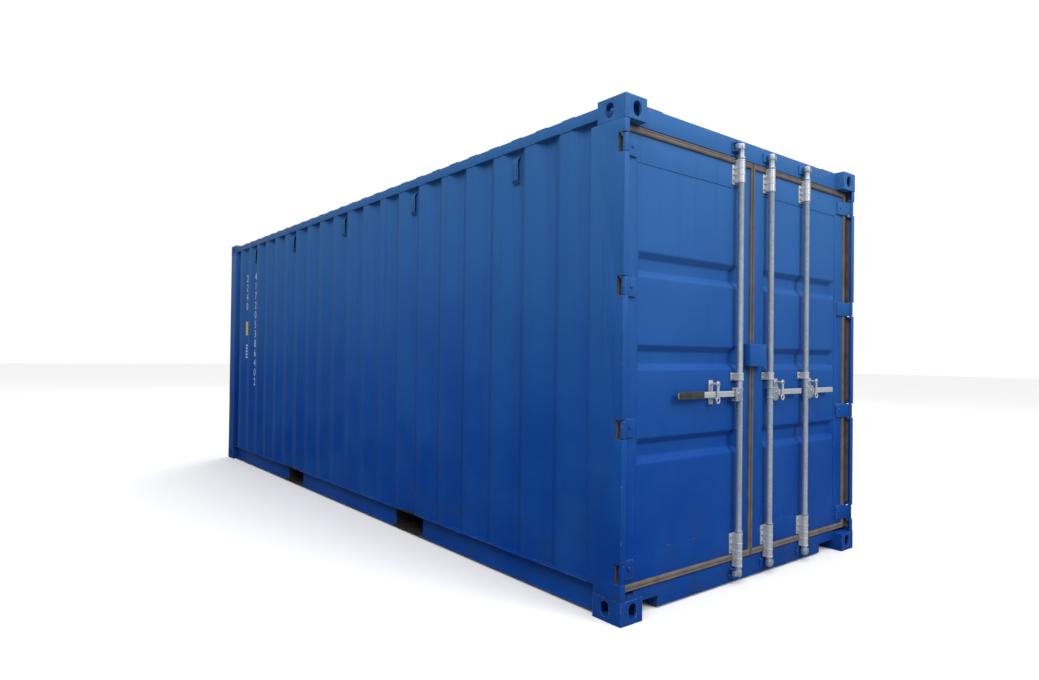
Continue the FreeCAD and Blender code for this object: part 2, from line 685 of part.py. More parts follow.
def handle_rests(name, rests):
    """Back plate with the ledge under a handle and the pin of its catch."""
    pieces = []
    ledge_high = "(handle_height-handle_tall/2-ledge_gap)"
    for x, sign, place in rests:
        centre = "(%s%s%s)" % (x, "+" if sign > 0 else "-", place)
        plate = block((centre + "-rest_half", centre + "+rest_half"),
                      (door_face + "-flange_thick", door_face), ("rest_low", "rest_low+rest_tall"))
        ledge = block((centre + "-ledge_half", centre + "+ledge_half"), (depth("ledge_front"), door_face),
                      (ledge_high + "-ledge_thick", ledge_high))
        pin = rod(centre, (depth("catch_front"), door_face), "catch_height", "catch_pin", "y")
        pieces.append(join([plate, ledge, pin]))
    node(name, group(pieces))


def keepers():
    """Forked keepers on the header and the sill that the cams turn into."""
    pieces = []
    gap = "keeper_clear"
    for x, sign in (("bar_one", -1), ("bar_two", 1), ("bar_three", 1)):
        for low in (cam_top_low, "cam_low"):
            bottom = "(%s-%s-keeper_ear)" % (low, gap)
            top = "(%s+cam_tall+%s+keeper_ear)" % (low, gap)
            base = block((x + "-keeper_wide", x + "+keeper_wide"), (door_face + "-keeper_base", door_face),
                         (bottom, top))
            ears = []
            for ear in ((bottom, bottom + "+keeper_ear"), (top + "-keeper_ear", top)):
                ears.append(block(ahead(x, sign, "bar_radius+keeper_side", "keeper_wide"),
                                  (door_face + "-keeper_base-keeper_ear_depth", door_face), ear))
            pieces.append(join([base] + ears))
    node("cam_keepers", group(pieces))


def lock_bar(name, x, sign):
    """Tube with a cam at each end, two collars and the fork that holds the handle."""
    span = ("bar_low", "(height-bar_drop)")
    parts = [rod(x, bar_y, span, "bar_radius")]
    for low in (cam_top_low, "cam_low"):
        level = (low, low + "+cam_tall")
        parts.append(rod(x, bar_y, level, "bar_radius+cam_wall"))
        parts.append(block(ahead(x, sign, "0", "cam_reach"),
                           (bar_y + "-cam_front", bar_y + "+cam_back"), level))
    top_housing = "(height-top_flange_drop+top_housing_over)"
    low_top = "(low_flange+low_flange_tall+low_housing_over)"
    for low in (top_housing, low_top):
        collar = (low + "+collar_clear", low + "+collar_clear+collar_tall")
        parts.append(rod(x, bar_y, collar, "bar_radius+collar_wall"))
    hub_z = ("hub_low", "hub_low+hub_tall")
    hub = block(ahead(x, sign, "hub_start", "hub_end"), (depth("hub_front"), depth("hub_back")), hub_z)
    gap = block(ahead(x, sign, "hub_slot", "hub_end+past"),
                (depth("handle_front-hub_clear"), depth("handle_front+handle_thick+hub_clear")),
                ("hub_low-past", "hub_low+hub_tall+past"))
    pivot = "(%s%shub_pivot)" % (x, "+" if sign > 0 else "-")
    pin = rod(pivot, (depth("hub_front"), depth("hub_back")), "handle_height", "hub_pin", "y")
    bore = rod(x, bar_y, ("bar_low-past", "height"), "bar_radius-bar_wall")
    node(name, cut(join(parts + [cut(hub, [gap]), pin]), [bore]))


def handle(number, x, sign, reach):
    pivot = "(%s%shub_pivot)" % (x, "+" if sign > 0 else "-")
    thick = (depth("handle_front"), depth("handle_front+handle_thick"))
    tall = ("handle_height-handle_tall/2", "handle_height+handle_tall/2")
    bar = block(ahead(x, sign, "hub_pivot", reach), thick, tall)
    end = rod(pivot, thick, "handle_height", "handle_tall/2", "y")
    bore = rod(pivot, (thick[0] + "-past", thick[1] + "+past"), "handle_height", "hub_pin+pin_clear", "y")
    node("lock_handle_%d" % number, cut(join([bar, end]), [bore]))
    if number == 1:
        span = ahead(x, sign, reach + "-grip_long", reach)
        sleeve = block(span, (thick[0] + "-grip_wall", thick[1] + "+grip_wall"),
                       (tall[0] + "-grip_wall", tall[1] + "+grip_wall"))
        node("handle_grip", cut(sleeve, [block(span, thick, tall)]))


def catch(number, x, sign, place):
    """Swinging catch that hangs in front of the handle, with a hole for a padlock."""
    centre = "(%s%s%s)" % (x, "+" if sign > 0 else "-", place)
    thick = (depth("catch_front"), depth("catch_front+catch_thick"))
    foot = "(catch_height-catch_drop)"
    around = (thick[0] + "-past", thick[1] + "+past")
    ring = rod(centre, thick, "catch_height", "catch_ring", "y")
    arm = block((centre + "-catch_half", centre + "+catch_half"), thick, (foot, "catch_height"))
    low_ring = rod(centre, thick, foot, "catch_foot", "y")
    holes = [rod(centre, around, "catch_height", "catch_pin+pin_clear", "y"),
             rod(centre, around, foot, "catch_hole", "y")]
    node("handle_catch_%d" % number, cut(join([ring, arm, low_ring]), holes))


def lock_box():
    """Cover over the middle of both doors, open below and behind, and the staple inside it."""
    box_y = (depth("box_front"), depth("box_back"))
    shell = block(("-box_half", "box_half"), box_y, ("box_low", "box_low+box_tall"))
    room = block(("-box_half+box_wall", "box_half-box_wall"), (box_y[0] + "+box_wall", box_y[1] + "+past"),
                 ("box_low-past", "box_low+box_tall-box_wall"))
    flange = block(("door_gap+box_wall", "box_half"), (box_y[1], door_face), ("box_low", "box_low+box_tall"))
    node("lock_box", join([cut(shell, [room]), flange]))
    hole_z = "(staple_low+staple_tall/2)"
    middle = "(-length/2+(staple_front+face_depth)/2-staple_hole_lead)"
    plate = block(("-staple_place-staple_thick/2", "-staple_place+staple_thick/2"),
                  (depth("staple_front"), door_face), ("staple_low", "staple_low+staple_tall"))
    around = ("-staple_place-staple_thick", "-staple_place+staple_thick")
    hole = rod(around, middle, hole_z, "staple_hole", "x")
    node("lock_staple", cut(plate, [hole]))


def build_check():
    """Stop before anything is written if an object failed or a shape is unsound."""
    for item in doc.Objects:
        if "Invalid" in item.State or "Error" in item.State:
            raise RuntimeError("%s (%s) failed: %s" % (item.Name, item.Label, item.State))
    for item in nodes:
        if item.Shape.isNull() or not item.Shape.isValid():
            raise RuntimeError("unsound shape: " + item.Label)


corner_castings()
door_posts()
front_posts()
door_header()
door_sill()
top_side_rails()
bottom_side_rails()
front_top_rail()
front_sill()
side_walls()
front_wall()
roof()
floor_parts()
vents()
hinge_pins()
keepers()
hinge_blades()
doors()
left_bars = [("bar_one", -1, "reach_one", "catch_one")]
right_bars = [("bar_two", 1, "reach_two", "catch_two"), ("bar_three", 1, "reach_three", "catch_three")]
for hand, bars in (("left", left_bars), ("right", right_bars)):
    bar_brackets("bar_brackets_" + hand, [bar[0] for bar in bars])
    bar_guides("bar_guides_" + hand, [bar[0] for bar in bars])
    handle_rests("handle_rests_" + hand, [(x, sign, place) for x, sign, reach, place in bars])
for number, (x, sign, reach, place) in enumerate(left_bars + right_bars, start=1):
    lock_bar("lock_bar_%d" % number, x, sign)
    handle(number, x, sign, reach)
    catch(number, x, sign, place)
lock_box()

doc.recompute()
build_check()
os.makedirs("parts", exist_ok=True)
for item in nodes:
    item.Shape.exportStep("parts/%s.step" % item.Label)
    print(item.Label, len(item.Shape.Solids), round(item.Shape.Volume / 1e6, 2))
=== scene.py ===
import math
import random

import bmesh
import bpy
from mathutils import Matrix, Vector, noise


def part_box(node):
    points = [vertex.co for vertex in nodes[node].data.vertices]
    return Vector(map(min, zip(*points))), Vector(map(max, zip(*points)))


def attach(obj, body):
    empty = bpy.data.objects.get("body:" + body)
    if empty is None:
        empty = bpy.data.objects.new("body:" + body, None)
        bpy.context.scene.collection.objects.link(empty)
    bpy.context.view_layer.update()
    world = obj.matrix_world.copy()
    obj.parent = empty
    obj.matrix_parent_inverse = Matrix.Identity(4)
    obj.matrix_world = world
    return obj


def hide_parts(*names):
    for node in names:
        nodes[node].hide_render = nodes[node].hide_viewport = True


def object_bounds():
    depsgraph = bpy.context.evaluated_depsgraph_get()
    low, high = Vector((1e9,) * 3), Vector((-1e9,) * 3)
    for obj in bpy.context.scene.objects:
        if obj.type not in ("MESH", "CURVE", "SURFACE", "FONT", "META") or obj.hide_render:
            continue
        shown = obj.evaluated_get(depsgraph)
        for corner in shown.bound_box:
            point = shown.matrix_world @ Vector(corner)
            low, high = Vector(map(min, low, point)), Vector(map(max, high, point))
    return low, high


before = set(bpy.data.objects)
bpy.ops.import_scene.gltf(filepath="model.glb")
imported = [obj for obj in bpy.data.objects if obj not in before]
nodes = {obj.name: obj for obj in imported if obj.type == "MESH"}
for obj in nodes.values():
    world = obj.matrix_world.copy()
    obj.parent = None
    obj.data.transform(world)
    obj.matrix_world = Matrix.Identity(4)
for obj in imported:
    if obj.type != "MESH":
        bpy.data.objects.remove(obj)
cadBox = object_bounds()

# Twenty foot container: metres, +Z up, doors towards -Y. One mm is written as 1 * mm.
mm = 0.001
random.seed(20)
lowCorner, highCorner = cadBox
halfWidth = highCorner.x
doorEnd = lowCorner.y
closedEnd = highCorner.y
totalHeight = highCorner.z


def boxOf(name):
    low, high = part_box(name)
    return Vector(low), Vector(high)


# shader helpers
def newGroup(name, inputs, outputs):
    tree = bpy.data.node_groups.new(name, "ShaderNodeTree")
    for label, kind, value in inputs:
        socket = tree.interface.new_socket(name=label, in_out="INPUT", socket_type=kind)
        socket.default_value = value
    for label, kind in outputs:
        tree.interface.new_socket(name=label, in_out="OUTPUT", socket_type=kind)
    return tree, tree.nodes.new("NodeGroupInput"), tree.nodes.new("NodeGroupOutput")


def addNode(tree, kind, **settings):
    item = tree.nodes.new(kind)
    for name, value in settings.items():
        setattr(item, name, value)
    return item


def mathNode(tree, operation, first, second=None, clamp=False):
    item = addNode(tree, "ShaderNodeMath", operation=operation, use_clamp=clamp)
    for index, value in enumerate((first, second)):
        if value is None:
            continue
        if isinstance(value, (int, float)):
            item.inputs[index].default_value = value
        else:
            tree.links.new(value, item.inputs[index])
    return item.outputs[0]


def mapRange(tree, value, fromLow, fromHigh, toLow=0.0, toHigh=1.0):
    item = addNode(tree, "ShaderNodeMapRange", interpolation_type="SMOOTHSTEP")
    for index, entry in enumerate((value, fromLow, fromHigh, toLow, toHigh)):
        if isinstance(entry, (int, float)):
            item.inputs[index].default_value = entry
        else:
            tree.links.new(entry, item.inputs[index])
    return item.outputs[0]


def mixColour(tree, factor, first, second, blend="MIX"):
    item = addNode(tree, "ShaderNodeMix", data_type="RGBA", blend_type=blend, clamp_factor=True)
    for socket, value in ((item.inputs[0], factor), (item.inputs[6], first), (item.inputs[7], second)):
        if isinstance(value, (int, float)):
            socket.default_value = value
        elif isinstance(value, tuple):
            socket.default_value = (*value, 1.0)
        else:
            tree.links.new(value, socket)
    return item.outputs[2]


def noiseNode(tree, vector, scale, detail=4.0, rough=0.55):
    item = addNode(tree, "ShaderNodeTexNoise")
    tree.links.new(vector, item.inputs["Vector"])
    if isinstance(scale, (int, float)):
        item.inputs["Scale"].default_value = scale
    else:
        tree.links.new(scale, item.inputs["Scale"])
    item.inputs["Detail"].default_value = detail
    item.inputs["Roughness"].default_value = rough
    return item.outputs["Fac"]


def scaled(tree, vector, factors):
    item = addNode(tree, "ShaderNodeMapping")
    tree.links.new(vector, item.inputs["Vector"])
    item.inputs["Scale"].default_value = factors
    return item.outputs["Vector"]


def objectPoint(tree):
    return addNode(tree, "ShaderNodeTexCoord").outputs["Object"]


# shared effects
def makeEdgeWear():
    tree, given, put = newGroup(
        "edgeWear",
        [("Radius", "NodeSocketFloat", 0.004), ("Amount", "NodeSocketFloat", 0.5),
         ("Scale", "NodeSocketFloat", 30.0)],
        [("Mask", "NodeSocketFloat")])
    soft = addNode(tree, "ShaderNodeBevel", samples=4)
    tree.links.new(given.outputs["Radius"], soft.inputs["Radius"])
    plain = addNode(tree, "ShaderNodeNewGeometry")
    dot = addNode(tree, "ShaderNodeVectorMath", operation="DOT_PRODUCT")
    tree.links.new(soft.outputs["Normal"], dot.inputs[0])
    tree.links.new(plain.outputs["Normal"], dot.inputs[1])
    edge = mapRange(tree, dot.outputs["Value"], 0.995, 0.86)
    speck = noiseNode(tree, objectPoint(tree), given.outputs["Scale"], 6.0, 0.7)
    limit = mathNode(tree, "SUBTRACT", 1.0, given.outputs["Amount"])
    chips = mapRange(tree, speck, limit, mathNode(tree, "ADD", limit, 0.06))
    tree.links.new(mathNode(tree, "MULTIPLY", edge, chips, True), put.inputs["Mask"])
    return tree


def makeDirt():
    # grime that gathers low down and runs in streaks
    tree, given, put = newGroup(
        "dirt",
        [("Low", "NodeSocketFloat", 0.1), ("High", "NodeSocketFloat", 1.2),
         ("Strength", "NodeSocketFloat", 0.4)],
        [("Mask", "NodeSocketFloat"), ("Streaks", "NodeSocketFloat")])
    point = objectPoint(tree)
    split = addNode(tree, "ShaderNodeSeparateXYZ")
    tree.links.new(point, split.inputs[0])
    rise = mapRange(tree, split.outputs["Z"], given.outputs["High"], given.outputs["Low"])
    cloud = mapRange(tree, noiseNode(tree, point, 5.0, 6.0, 0.65), 0.42, 0.7)
    speck = mapRange(tree, noiseNode(tree, point, 70.0, 3.0, 0.6), 0.5, 0.72)
    soil = mathNode(tree, "MULTIPLY", rise, mathNode(tree, "ADD", mathNode(tree, "MULTIPLY", cloud, 0.8),
                                                     speck))
    streak = mapRange(tree, noiseNode(tree, scaled(tree, point, (26.0, 26.0, 0.9)), 1.0, 5.0, 0.6), 0.55,
                      0.8)
    tree.links.new(mathNode(tree, "MULTIPLY", soil, given.outputs["Strength"], True), put.inputs["Mask"])
    tree.links.new(mathNode(tree, "MULTIPLY", streak, given.outputs["Strength"], True),
                   put.inputs["Streaks"])
    return tree


def makeGrain():
    # fine relief and a slow change of tone
    tree, given, put = newGroup(
        "grain",
        [("Fine", "NodeSocketFloat", 350.0), ("Broad", "NodeSocketFloat", 2.0)],
        [("Height", "NodeSocketFloat"), ("Tone", "NodeSocketFloat")])
    point = objectPoint(tree)
    fine = noiseNode(tree, point, given.outputs["Fine"], 2.0, 0.5)
    ripple = noiseNode(tree, point, 22.0, 2.0, 0.5)
    height = mathNode(tree, "ADD", mathNode(tree, "MULTIPLY", fine, 0.15), ripple)
    tree.links.new(height, put.inputs["Height"])
    tree.links.new(noiseNode(tree, point, given.outputs["Broad"], 4.0, 0.6), put.inputs["Tone"])
    return tree


edgeWear = makeEdgeWear()
dirt = makeDirt()
grain = makeGrain()


def placeGroup(tree, group, **values):
    item = addNode(tree, "ShaderNodeGroup", node_tree=group)
    for name, value in values.items():
        item.inputs[name].default_value = value
    return item


def newMaterial(name):
    material = bpy.data.materials.new(name)
    material.use_nodes = True
    tree = material.node_tree
    tree.nodes.clear()
    shader = addNode(tree, "ShaderNodeBsdfPrincipled")
    put = addNode(tree, "ShaderNodeOutputMaterial")
    tree.links.new(shader.outputs[0], put.inputs[0])
    return material, tree, shader


def bumpInto(tree, shader, height, strength, distance):
    item = addNode(tree, "ShaderNodeBump")
    item.inputs["Strength"].default_value = strength
    item.inputs["Distance"].default_value = distance
    tree.links.new(height, item.inputs["Height"])
    tree.links.new(item.outputs[0], shader.inputs["Normal"])


def paintMaterial(name, look):
    material, tree, shader = newMaterial(name)
    feel = placeGroup(tree, grain, Fine=look["fine"], Broad=look["broad"])
    wear = placeGroup(tree, edgeWear, Radius=look["wearRadius"], Amount=look["wear"],
                      Scale=look["wearScale"])
    soil = placeGroup(tree, dirt, Low=look["soilLow"], High=look["soilHigh"], Strength=look["soil"])
    split = addNode(tree, "ShaderNodeSeparateXYZ")
    tree.links.new(objectPoint(tree), split.inputs[0])
    # painted light: the base colour runs from a painted shade low down to a painted sky sheen high up
    rise = mapRange(tree, split.outputs["Z"], look["shadedBelow"], look["skyLitAbove"])
    base = mixColour(tree, rise, look["shadedLowColour"], look["skyLitHighColour"])
    toned = mixColour(tree, mapRange(tree, feel.outputs["Tone"], 0.3, 0.75, 0.0, look["fade"]), base,
                      look["fadeColour"])
    streaked = mixColour(tree, soil.outputs["Streaks"], toned, look["streakColour"])
    soiled = mixColour(tree, soil.outputs["Mask"], streaked, look["soilColour"])
    worn = mixColour(tree, wear.outputs["Mask"], soiled, look["wearColour"])
    tree.links.new(worn, shader.inputs["Base Color"])
    rough = mapRange(tree, feel.outputs["Tone"], 0.25, 0.8, look["roughLow"], look["roughHigh"])
    rough = mathNode(tree, "ADD", rough, mathNode(tree, "MULTIPLY", soil.outputs["Mask"], 0.35), True)
    tree.links.new(rough, shader.inputs["Roughness"])
    shader.inputs["Specular IOR Level"].default_value = look["gloss"]
    bumpInto(tree, shader, feel.outputs["Height"], look["bump"], 0.0012)
    return material


# the paint's low and high colours are painted light: painted shade at the bottom, painted sky sheen at the
# top
bluePaintLook = {
    "shadedLowColour": (0.0, 0.044, 0.275), "skyLitHighColour": (0.036, 0.136, 0.362), "fadeColour": (0.030, 0.150,
                                                                                          0.400),
    "shadedBelow": 0.3, "skyLitAbove": 3.0,
    "fade": 0.22, "streakColour": (0.012, 0.045, 0.150), "soilColour": (0.020, 0.038, 0.075),
    "wearColour": (0.100, 0.200, 0.360), "wear": 0.44, "wearScale": 34.0, "wearRadius": 0.005,
    "soilLow": 0.05, "soilHigh": 0.95, "soil": 0.30, "fine": 420.0, "broad": 1.6,
    "roughLow": 0.34, "roughHigh": 0.50, "bump": 0.16, "gloss": 0.07,
}
postPaintLook = dict(bluePaintLook, wear=0.50, soil=0.38, wearColour=(0.13, 0.10, 0.09))
castingLook = dict(bluePaintLook, wear=0.52, wearScale=55.0, wearRadius=0.007, bump=0.6, fine=160.0,
                   wearColour=(0.16, 0.15, 0.15), soil=0.45, roughLow=0.42, roughHigh=0.62)
underLook = dict(bluePaintLook, shadedLowColour=(0.012, 0.013, 0.015), skyLitHighColour=(0.016, 0.018, 0.022),
                 fadeColour=(0.03, 0.03, 0.035), wearColour=(0.06, 0.04, 0.03), soilColour=(0.07, 0.06,
                                                                                            0.05),
                 streakColour=(0.02, 0.02, 0.02), soil=0.5, roughLow=0.6, roughHigh=0.8, bump=0.7, fine=120.0)
bluePaint = paintMaterial("bluePaint", bluePaintLook)
postPaint = paintMaterial("postPaint", postPaintLook)
castingPaint = paintMaterial("castingPaint", castingLook)
underCoat = paintMaterial("underCoat", underLook)


def zincMaterial(name, look):
    material, tree, shader = newMaterial(name)
    point = objectPoint(tree)
    feel = placeGroup(tree, grain, Fine=look["fine"], Broad=look["broad"])
    wear = placeGroup(tree, edgeWear, Radius=0.002, Amount=look["wear"], Scale=60.0)
    spangle = addNode(tree, "ShaderNodeTexVoronoi")
    spangle.inputs["Scale"].default_value = look["spangle"]
    tree.links.new(point, spangle.inputs["Vector"])
    grey = mixColour(tree, spangle.outputs["Color"], look["dark"], look["light"])
    stain = mapRange(tree, noiseNode(tree, point, 16.0, 6.0, 0.7), 0.52, 0.72, 0.0, look["stain"])
    stained = mixColour(tree, stain, grey, look["stainColour"])
    tree.links.new(mixColour(tree, wear.outputs["Mask"], stained, look["bright"]),
                   shader.inputs["Base Color"])
    shader.inputs["Metallic"].default_value = look["metal"]
    rough = mapRange(tree, feel.outputs["Tone"], 0.3, 0.75, look["roughLow"], look["roughHigh"])
    tree.links.new(mathNode(tree, "ADD", rough, mathNode(tree, "MULTIPLY", stain, 0.3), True),
                   shader.inputs["Roughness"])
    bumpInto(tree, shader, feel.outputs["Height"], 0.25, 0.0006)
    return material


zincLook = {
    "dark": (0.30, 0.355, 0.42), "light": (0.41, 0.465, 0.53), "bright": (0.75, 0.76, 0.77),
    "stain": 0.35, "stainColour": (0.20, 0.17, 0.14), "spangle": 90.0, "metal": 0.65, "wear": 0.5,
    "roughLow": 0.38, "roughHigh": 0.55, "fine": 300.0, "broad": 8.0,
}
zincSteel = zincMaterial("zincSteel", zincLook)
castZinc = zincMaterial("castZinc", dict(zincLook, dark=(0.44, 0.47, 0.50), light=(0.58, 0.61, 0.64),
                                         metal=0.45,
                                         spangle=160.0, stain=0.3))


def plainMaterial(name, look):
    # one coloured substance with mottling, relief and dust
    material, tree, shader = newMaterial(name)
    feel = placeGroup(tree, grain, Fine=look["fine"], Broad=look["broad"])
    soil = placeGroup(tree, dirt, Low=look.get("soilLow", 0.0), High=look.get("soilHigh", 3.0),
                      Strength=look["soil"])
    mottle = mapRange(tree, feel.outputs["Tone"], 0.3, 0.72)
    base = mixColour(tree, mottle, look["colour"], look["second"])
    tree.links.new(mixColour(tree, soil.outputs["Mask"], base, look["dust"]), shader.inputs["Base Color"])
    tree.links.new(mapRange(tree, mottle, 0.0, 1.0, look["roughLow"], look["roughHigh"]),
                   shader.inputs["Roughness"])
    bumpInto(tree, shader, feel.outputs["Height"], look["bump"], 0.001)
    return material


sealRubber = plainMaterial("sealRubber", {
    "colour": (0.080, 0.066, 0.062), "second": (0.135, 0.112, 0.102), "dust": (0.20, 0.18,
                                                                               0.17), "soil": 0.35,
    "fine": 260.0, "broad": 14.0, "roughLow": 0.55, "roughHigh": 0.8, "bump": 0.35})
gripPlastic = plainMaterial("gripPlastic", {
    "colour": (0.012, 0.012, 0.013), "second": (0.03, 0.03, 0.032), "dust": (0.10, 0.10, 0.10), "soil": 0.15,
    "fine": 500.0, "broad": 30.0, "roughLow": 0.42, "roughHigh": 0.6, "bump": 0.3})
yellowVinyl = plainMaterial("yellowVinyl", {
    "colour": (0.62, 0.36, 0.03), "second": (0.72, 0.45, 0.06), "dust": (0.3, 0.2, 0.1), "soil": 0.25,
    "fine": 300.0, "broad": 20.0, "roughLow": 0.4, "roughHigh": 0.55, "bump": 0.1})
whiteVinyl = plainMaterial("whiteVinyl", {
    "colour": (0.62, 0.64, 0.68), "second": (0.46, 0.50, 0.58), "dust": (0.25, 0.28, 0.33), "soil": 0.25,
    "fine": 300.0, "broad": 40.0, "roughLow": 0.4, "roughHigh": 0.55, "bump": 0.1})
rustScale = plainMaterial("rustScale", {
    "colour": (0.20, 0.065, 0.020), "second": (0.38, 0.17, 0.04), "dust": (0.10, 0.05, 0.03), "soil": 0.3,
    "fine": 400.0, "broad": 40.0, "roughLow": 0.75, "roughHigh": 0.92, "bump": 0.8})

primerSpot = plainMaterial("primerSpot", {
    "colour": (0.34, 0.27, 0.33), "second": (0.16, 0.20, 0.34), "dust": (0.2, 0.2, 0.2), "soil": 0.1,
    "fine": 400.0, "broad": 60.0, "roughLow": 0.6, "roughHigh": 0.8, "bump": 0.4})


def plywoodMaterial():
    material, tree, shader = newMaterial("plywood")
    point = objectPoint(tree)
    figure = addNode(tree, "ShaderNodeTexWave", wave_type="BANDS", bands_direction="X")
    tree.links.new(scaled(tree, point, (14.0, 0.9, 14.0)), figure.inputs["Vector"])
    figure.inputs["Scale"].default_value = 1.0
    figure.inputs["Distortion"].default_value = 9.0
    figure.inputs["Detail"].default_value = 4.0
    feel = placeGroup(tree, grain, Fine=180.0, Broad=3.0)
    base = mixColour(tree, figure.outputs["Fac"], (0.17, 0.085, 0.035), (0.30, 0.165, 0.075))
    scuffs = mapRange(tree, noiseNode(tree, scaled(tree, point, (3.0, 30.0, 3.0)), 1.0, 6.0, 0.7), 0.55,
                      0.75, 0.0, 0.6)
    tree.links.new(mixColour(tree, scuffs, base, (0.11, 0.085, 0.065)), shader.inputs["Base Color"])
    tree.links.new(mapRange(tree, feel.outputs["Tone"], 0.3, 0.7, 0.5, 0.75), shader.inputs["Roughness"])
    bumpInto(tree, shader, figure.outputs["Fac"], 0.25, 0.0008)
    return material


plywood = plywoodMaterial()
print("materials ready")


# mesh helpers
def finishPiece(name, bm, material, body, replaced=(), sharp=38):
    mesh = bpy.data.meshes.new(name)
    bm.normal_update()
    bm.to_mesh(mesh)
    bm.free()
    for polygon in mesh.polygons:
        polygon.use_smooth = True
    mesh.set_sharp_from_angle(angle=math.radians(sharp))
    mesh.materials.append(material)
    piece = bpy.data.objects.new(name, mesh)
    bpy.context.collection.objects.link(piece)
    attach(piece, body)
    if replaced:
        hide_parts(*replaced)
    return piece


def bevelEdges(bm, width, segments=2, angle=28):
    edges = [edge for edge in bm.edges
             if len(edge.link_faces) == 2 and edge.calc_face_angle(0.0) > math.radians(angle)]
    bmesh.ops.bevel(bm, geom=edges, offset=width, segments=segments, profile=0.6, affect="EDGES",
                    clamp_overlap=True)


def softened(nodeName, pieceName, material, body, width, segments=2):
    # the same solid with its edges rounded as folded or cast steel is
    bm = bmesh.new()
    bm.from_mesh(nodes[nodeName].data)
    bmesh.ops.remove_doubles(bm, verts=bm.verts, dist=0.02 * mm)
    bmesh.ops.dissolve_limit(bm, angle_limit=math.radians(1.0), verts=bm.verts, edges=bm.edges)
    bevelEdges(bm, width, segments)
    return finishPiece(pieceName, bm, material, body, (nodeName,))


def addBlock(bm, low, high, width=1.5 * mm, segments=2):
    size = Vector(high) - Vector(low)
    made = bmesh.ops.create_cube(bm, size=1.0)
    verts = made["verts"]
    bmesh.ops.scale(bm, vec=size, verts=verts)
    bmesh.ops.translate(bm, vec=(Vector(high) + Vector(low)) / 2, verts=verts)
    if width:
        edges = list({edge for vert in verts for edge in vert.link_edges})
        bmesh.ops.bevel(bm, geom=edges, offset=width, segments=segments, profile=0.6, affect="EDGES",
                        clamp_overlap=True)


def axisMatrix(centre, direction):
    turn = Vector((0, 0, 1)).rotation_difference(Vector(direction)).to_matrix().to_4x4()
    return Matrix.Translation(Vector(centre)) @ turn


def bridge(bm, lower, upper):
    # a band of faces between two closed rings
    for index in range(len(lower)):
        after = (index + 1) % len(lower)
        bm.faces.new((lower[index], lower[after], upper[after], upper[index]))


def addTurned(bm, centre, direction, profile, sides=32):
    # profile: radius and height pairs, turned about the direction
    place = axisMatrix(centre, direction)
    rings = []
    for radius, height in profile:
        ring = []
        for index in range(sides):
            angle = 2 * math.pi * index / sides
            ring.append(bm.verts.new(place @ Vector((radius * math.cos(angle), radius * math.sin(angle),
                                                     height))))
        rings.append(ring)
    for lower, upper in zip(rings, rings[1:]):
        bridge(bm, lower, upper)
    bm.faces.new(rings[0][::-1])
    bm.faces.new(rings[-1])


def addBolt(bm, centre, direction, size=11 * mm, tall=6 * mm):
    # washer and hexagon head
    addTurned(bm, centre, direction, [(size * 0.95, 0), (size * 0.95, 1.6 * mm), (size * 0.6, 1.9 * mm)], 20)
    top = Vector(centre) + Vector(direction) * 1.6 * mm
    addTurned(bm, top, direction, [(size * 0.62, 0), (size * 0.62, tall * 0.85), (size * 0.52, tall)], 6)


def addTube(bm, points, radius, sides=8, ripple=0.0, closed=False):
    # a bead or rod that follows the points; ripple gives a weld its scales
    count = len(points)
    rings = []
    for index, point in enumerate(points):
        before = points[index - 1] if index or closed else point
        after = points[(index + 1) % count] if index < count - 1 or closed else point
        along = (Vector(after) - Vector(before)).normalized()
        aside = along.cross(Vector((0, 0, 1)))
        if aside.length < 0.1:
            aside = along.cross(Vector((0, 1, 0)))
        aside.normalize()
        over = aside.cross(along)
        size = radius * (1.0 + ripple * (random.random() - 0.5))
        rings.append([bm.verts.new(Vector(point) + (aside * math.cos(turn) + over * math.sin(turn)) * size)
                      for turn in (2 * math.pi * step / sides for step in range(sides))])
    pairs = list(zip(rings, rings[1:])) + ([(rings[-1], rings[0])] if closed else [])
    for lower, upper in pairs:
        bridge(bm, lower, upper)
    if not closed:
        bm.faces.new(rings[0][::-1])
        bm.faces.new(rings[-1])


def steps(start, end, spacing):
    start, end = Vector(start), Vector(end)
    count = max(2, int((end - start).length / spacing))
    return [start.lerp(end, index / count) for index in range(count + 1)]


# corrugated sheets
def foldLine(sheet, start, end):
    # run and level pairs across the folds, each fold rounded by its bend radius
    corners = [(start, 0.0)]
    place = start + sheet["edge"]
    while place + sheet["pitch"] <= end + 1e-6:
        for run, level in ((0, 0), (sheet["slope"], 1), (sheet["slope"] + sheet["crest"], 1),
                           (2 * sheet["slope"] + sheet["crest"], 0)):
            corners.append((place + run, level * sheet["deep"]))
        place += sheet["pitch"]
    corners.append((end, 0.0))
    line = [Vector(corners[0])]
    for before, corner, after in zip(corners, corners[1:], corners[2:]):
        before, corner, after = Vector(before), Vector(corner), Vector(after)
        back = (before - corner).normalized() * sheet["bend"]
        ahead = (after - corner).normalized() * sheet["bend"]
        for step in range(5):
            part = step / 4
            line.append(corner + back * (1 - part) ** 2 + ahead * part ** 2)
    line.append(Vector(corners[-1]))
    return line


def closeShell(bm, outer, inner):
    # faces on both grids and round their rim
    rows, columns = len(outer), len(outer[0])
    for row in range(rows - 1):
        for column in range(columns - 1):
            for grid, flip in ((outer, False), (inner, True)):
                near, far = grid[row], grid[row + 1]
                quad = [near[column], near[column + 1], far[column + 1], far[column]]
                bm.faces.new(quad[::-1] if flip else quad)
    rim = [(0, column) for column in range(columns)] + [(row, columns - 1) for row in range(1, rows)]
    rim += [(rows - 1, column) for column in range(columns - 2, -1, -1)]
    rim += [(row, 0) for row in range(rows - 2, 0, -1)]
    for (rowA, columnA), (rowB, columnB) in zip(rim, rim[1:] + rim[:1]):
        bm.faces.new((outer[rowB][columnB], outer[rowA][columnA], inner[rowA][columnA], inner[rowB][columnB]))
    bmesh.ops.recalc_face_normals(bm, faces=bm.faces)


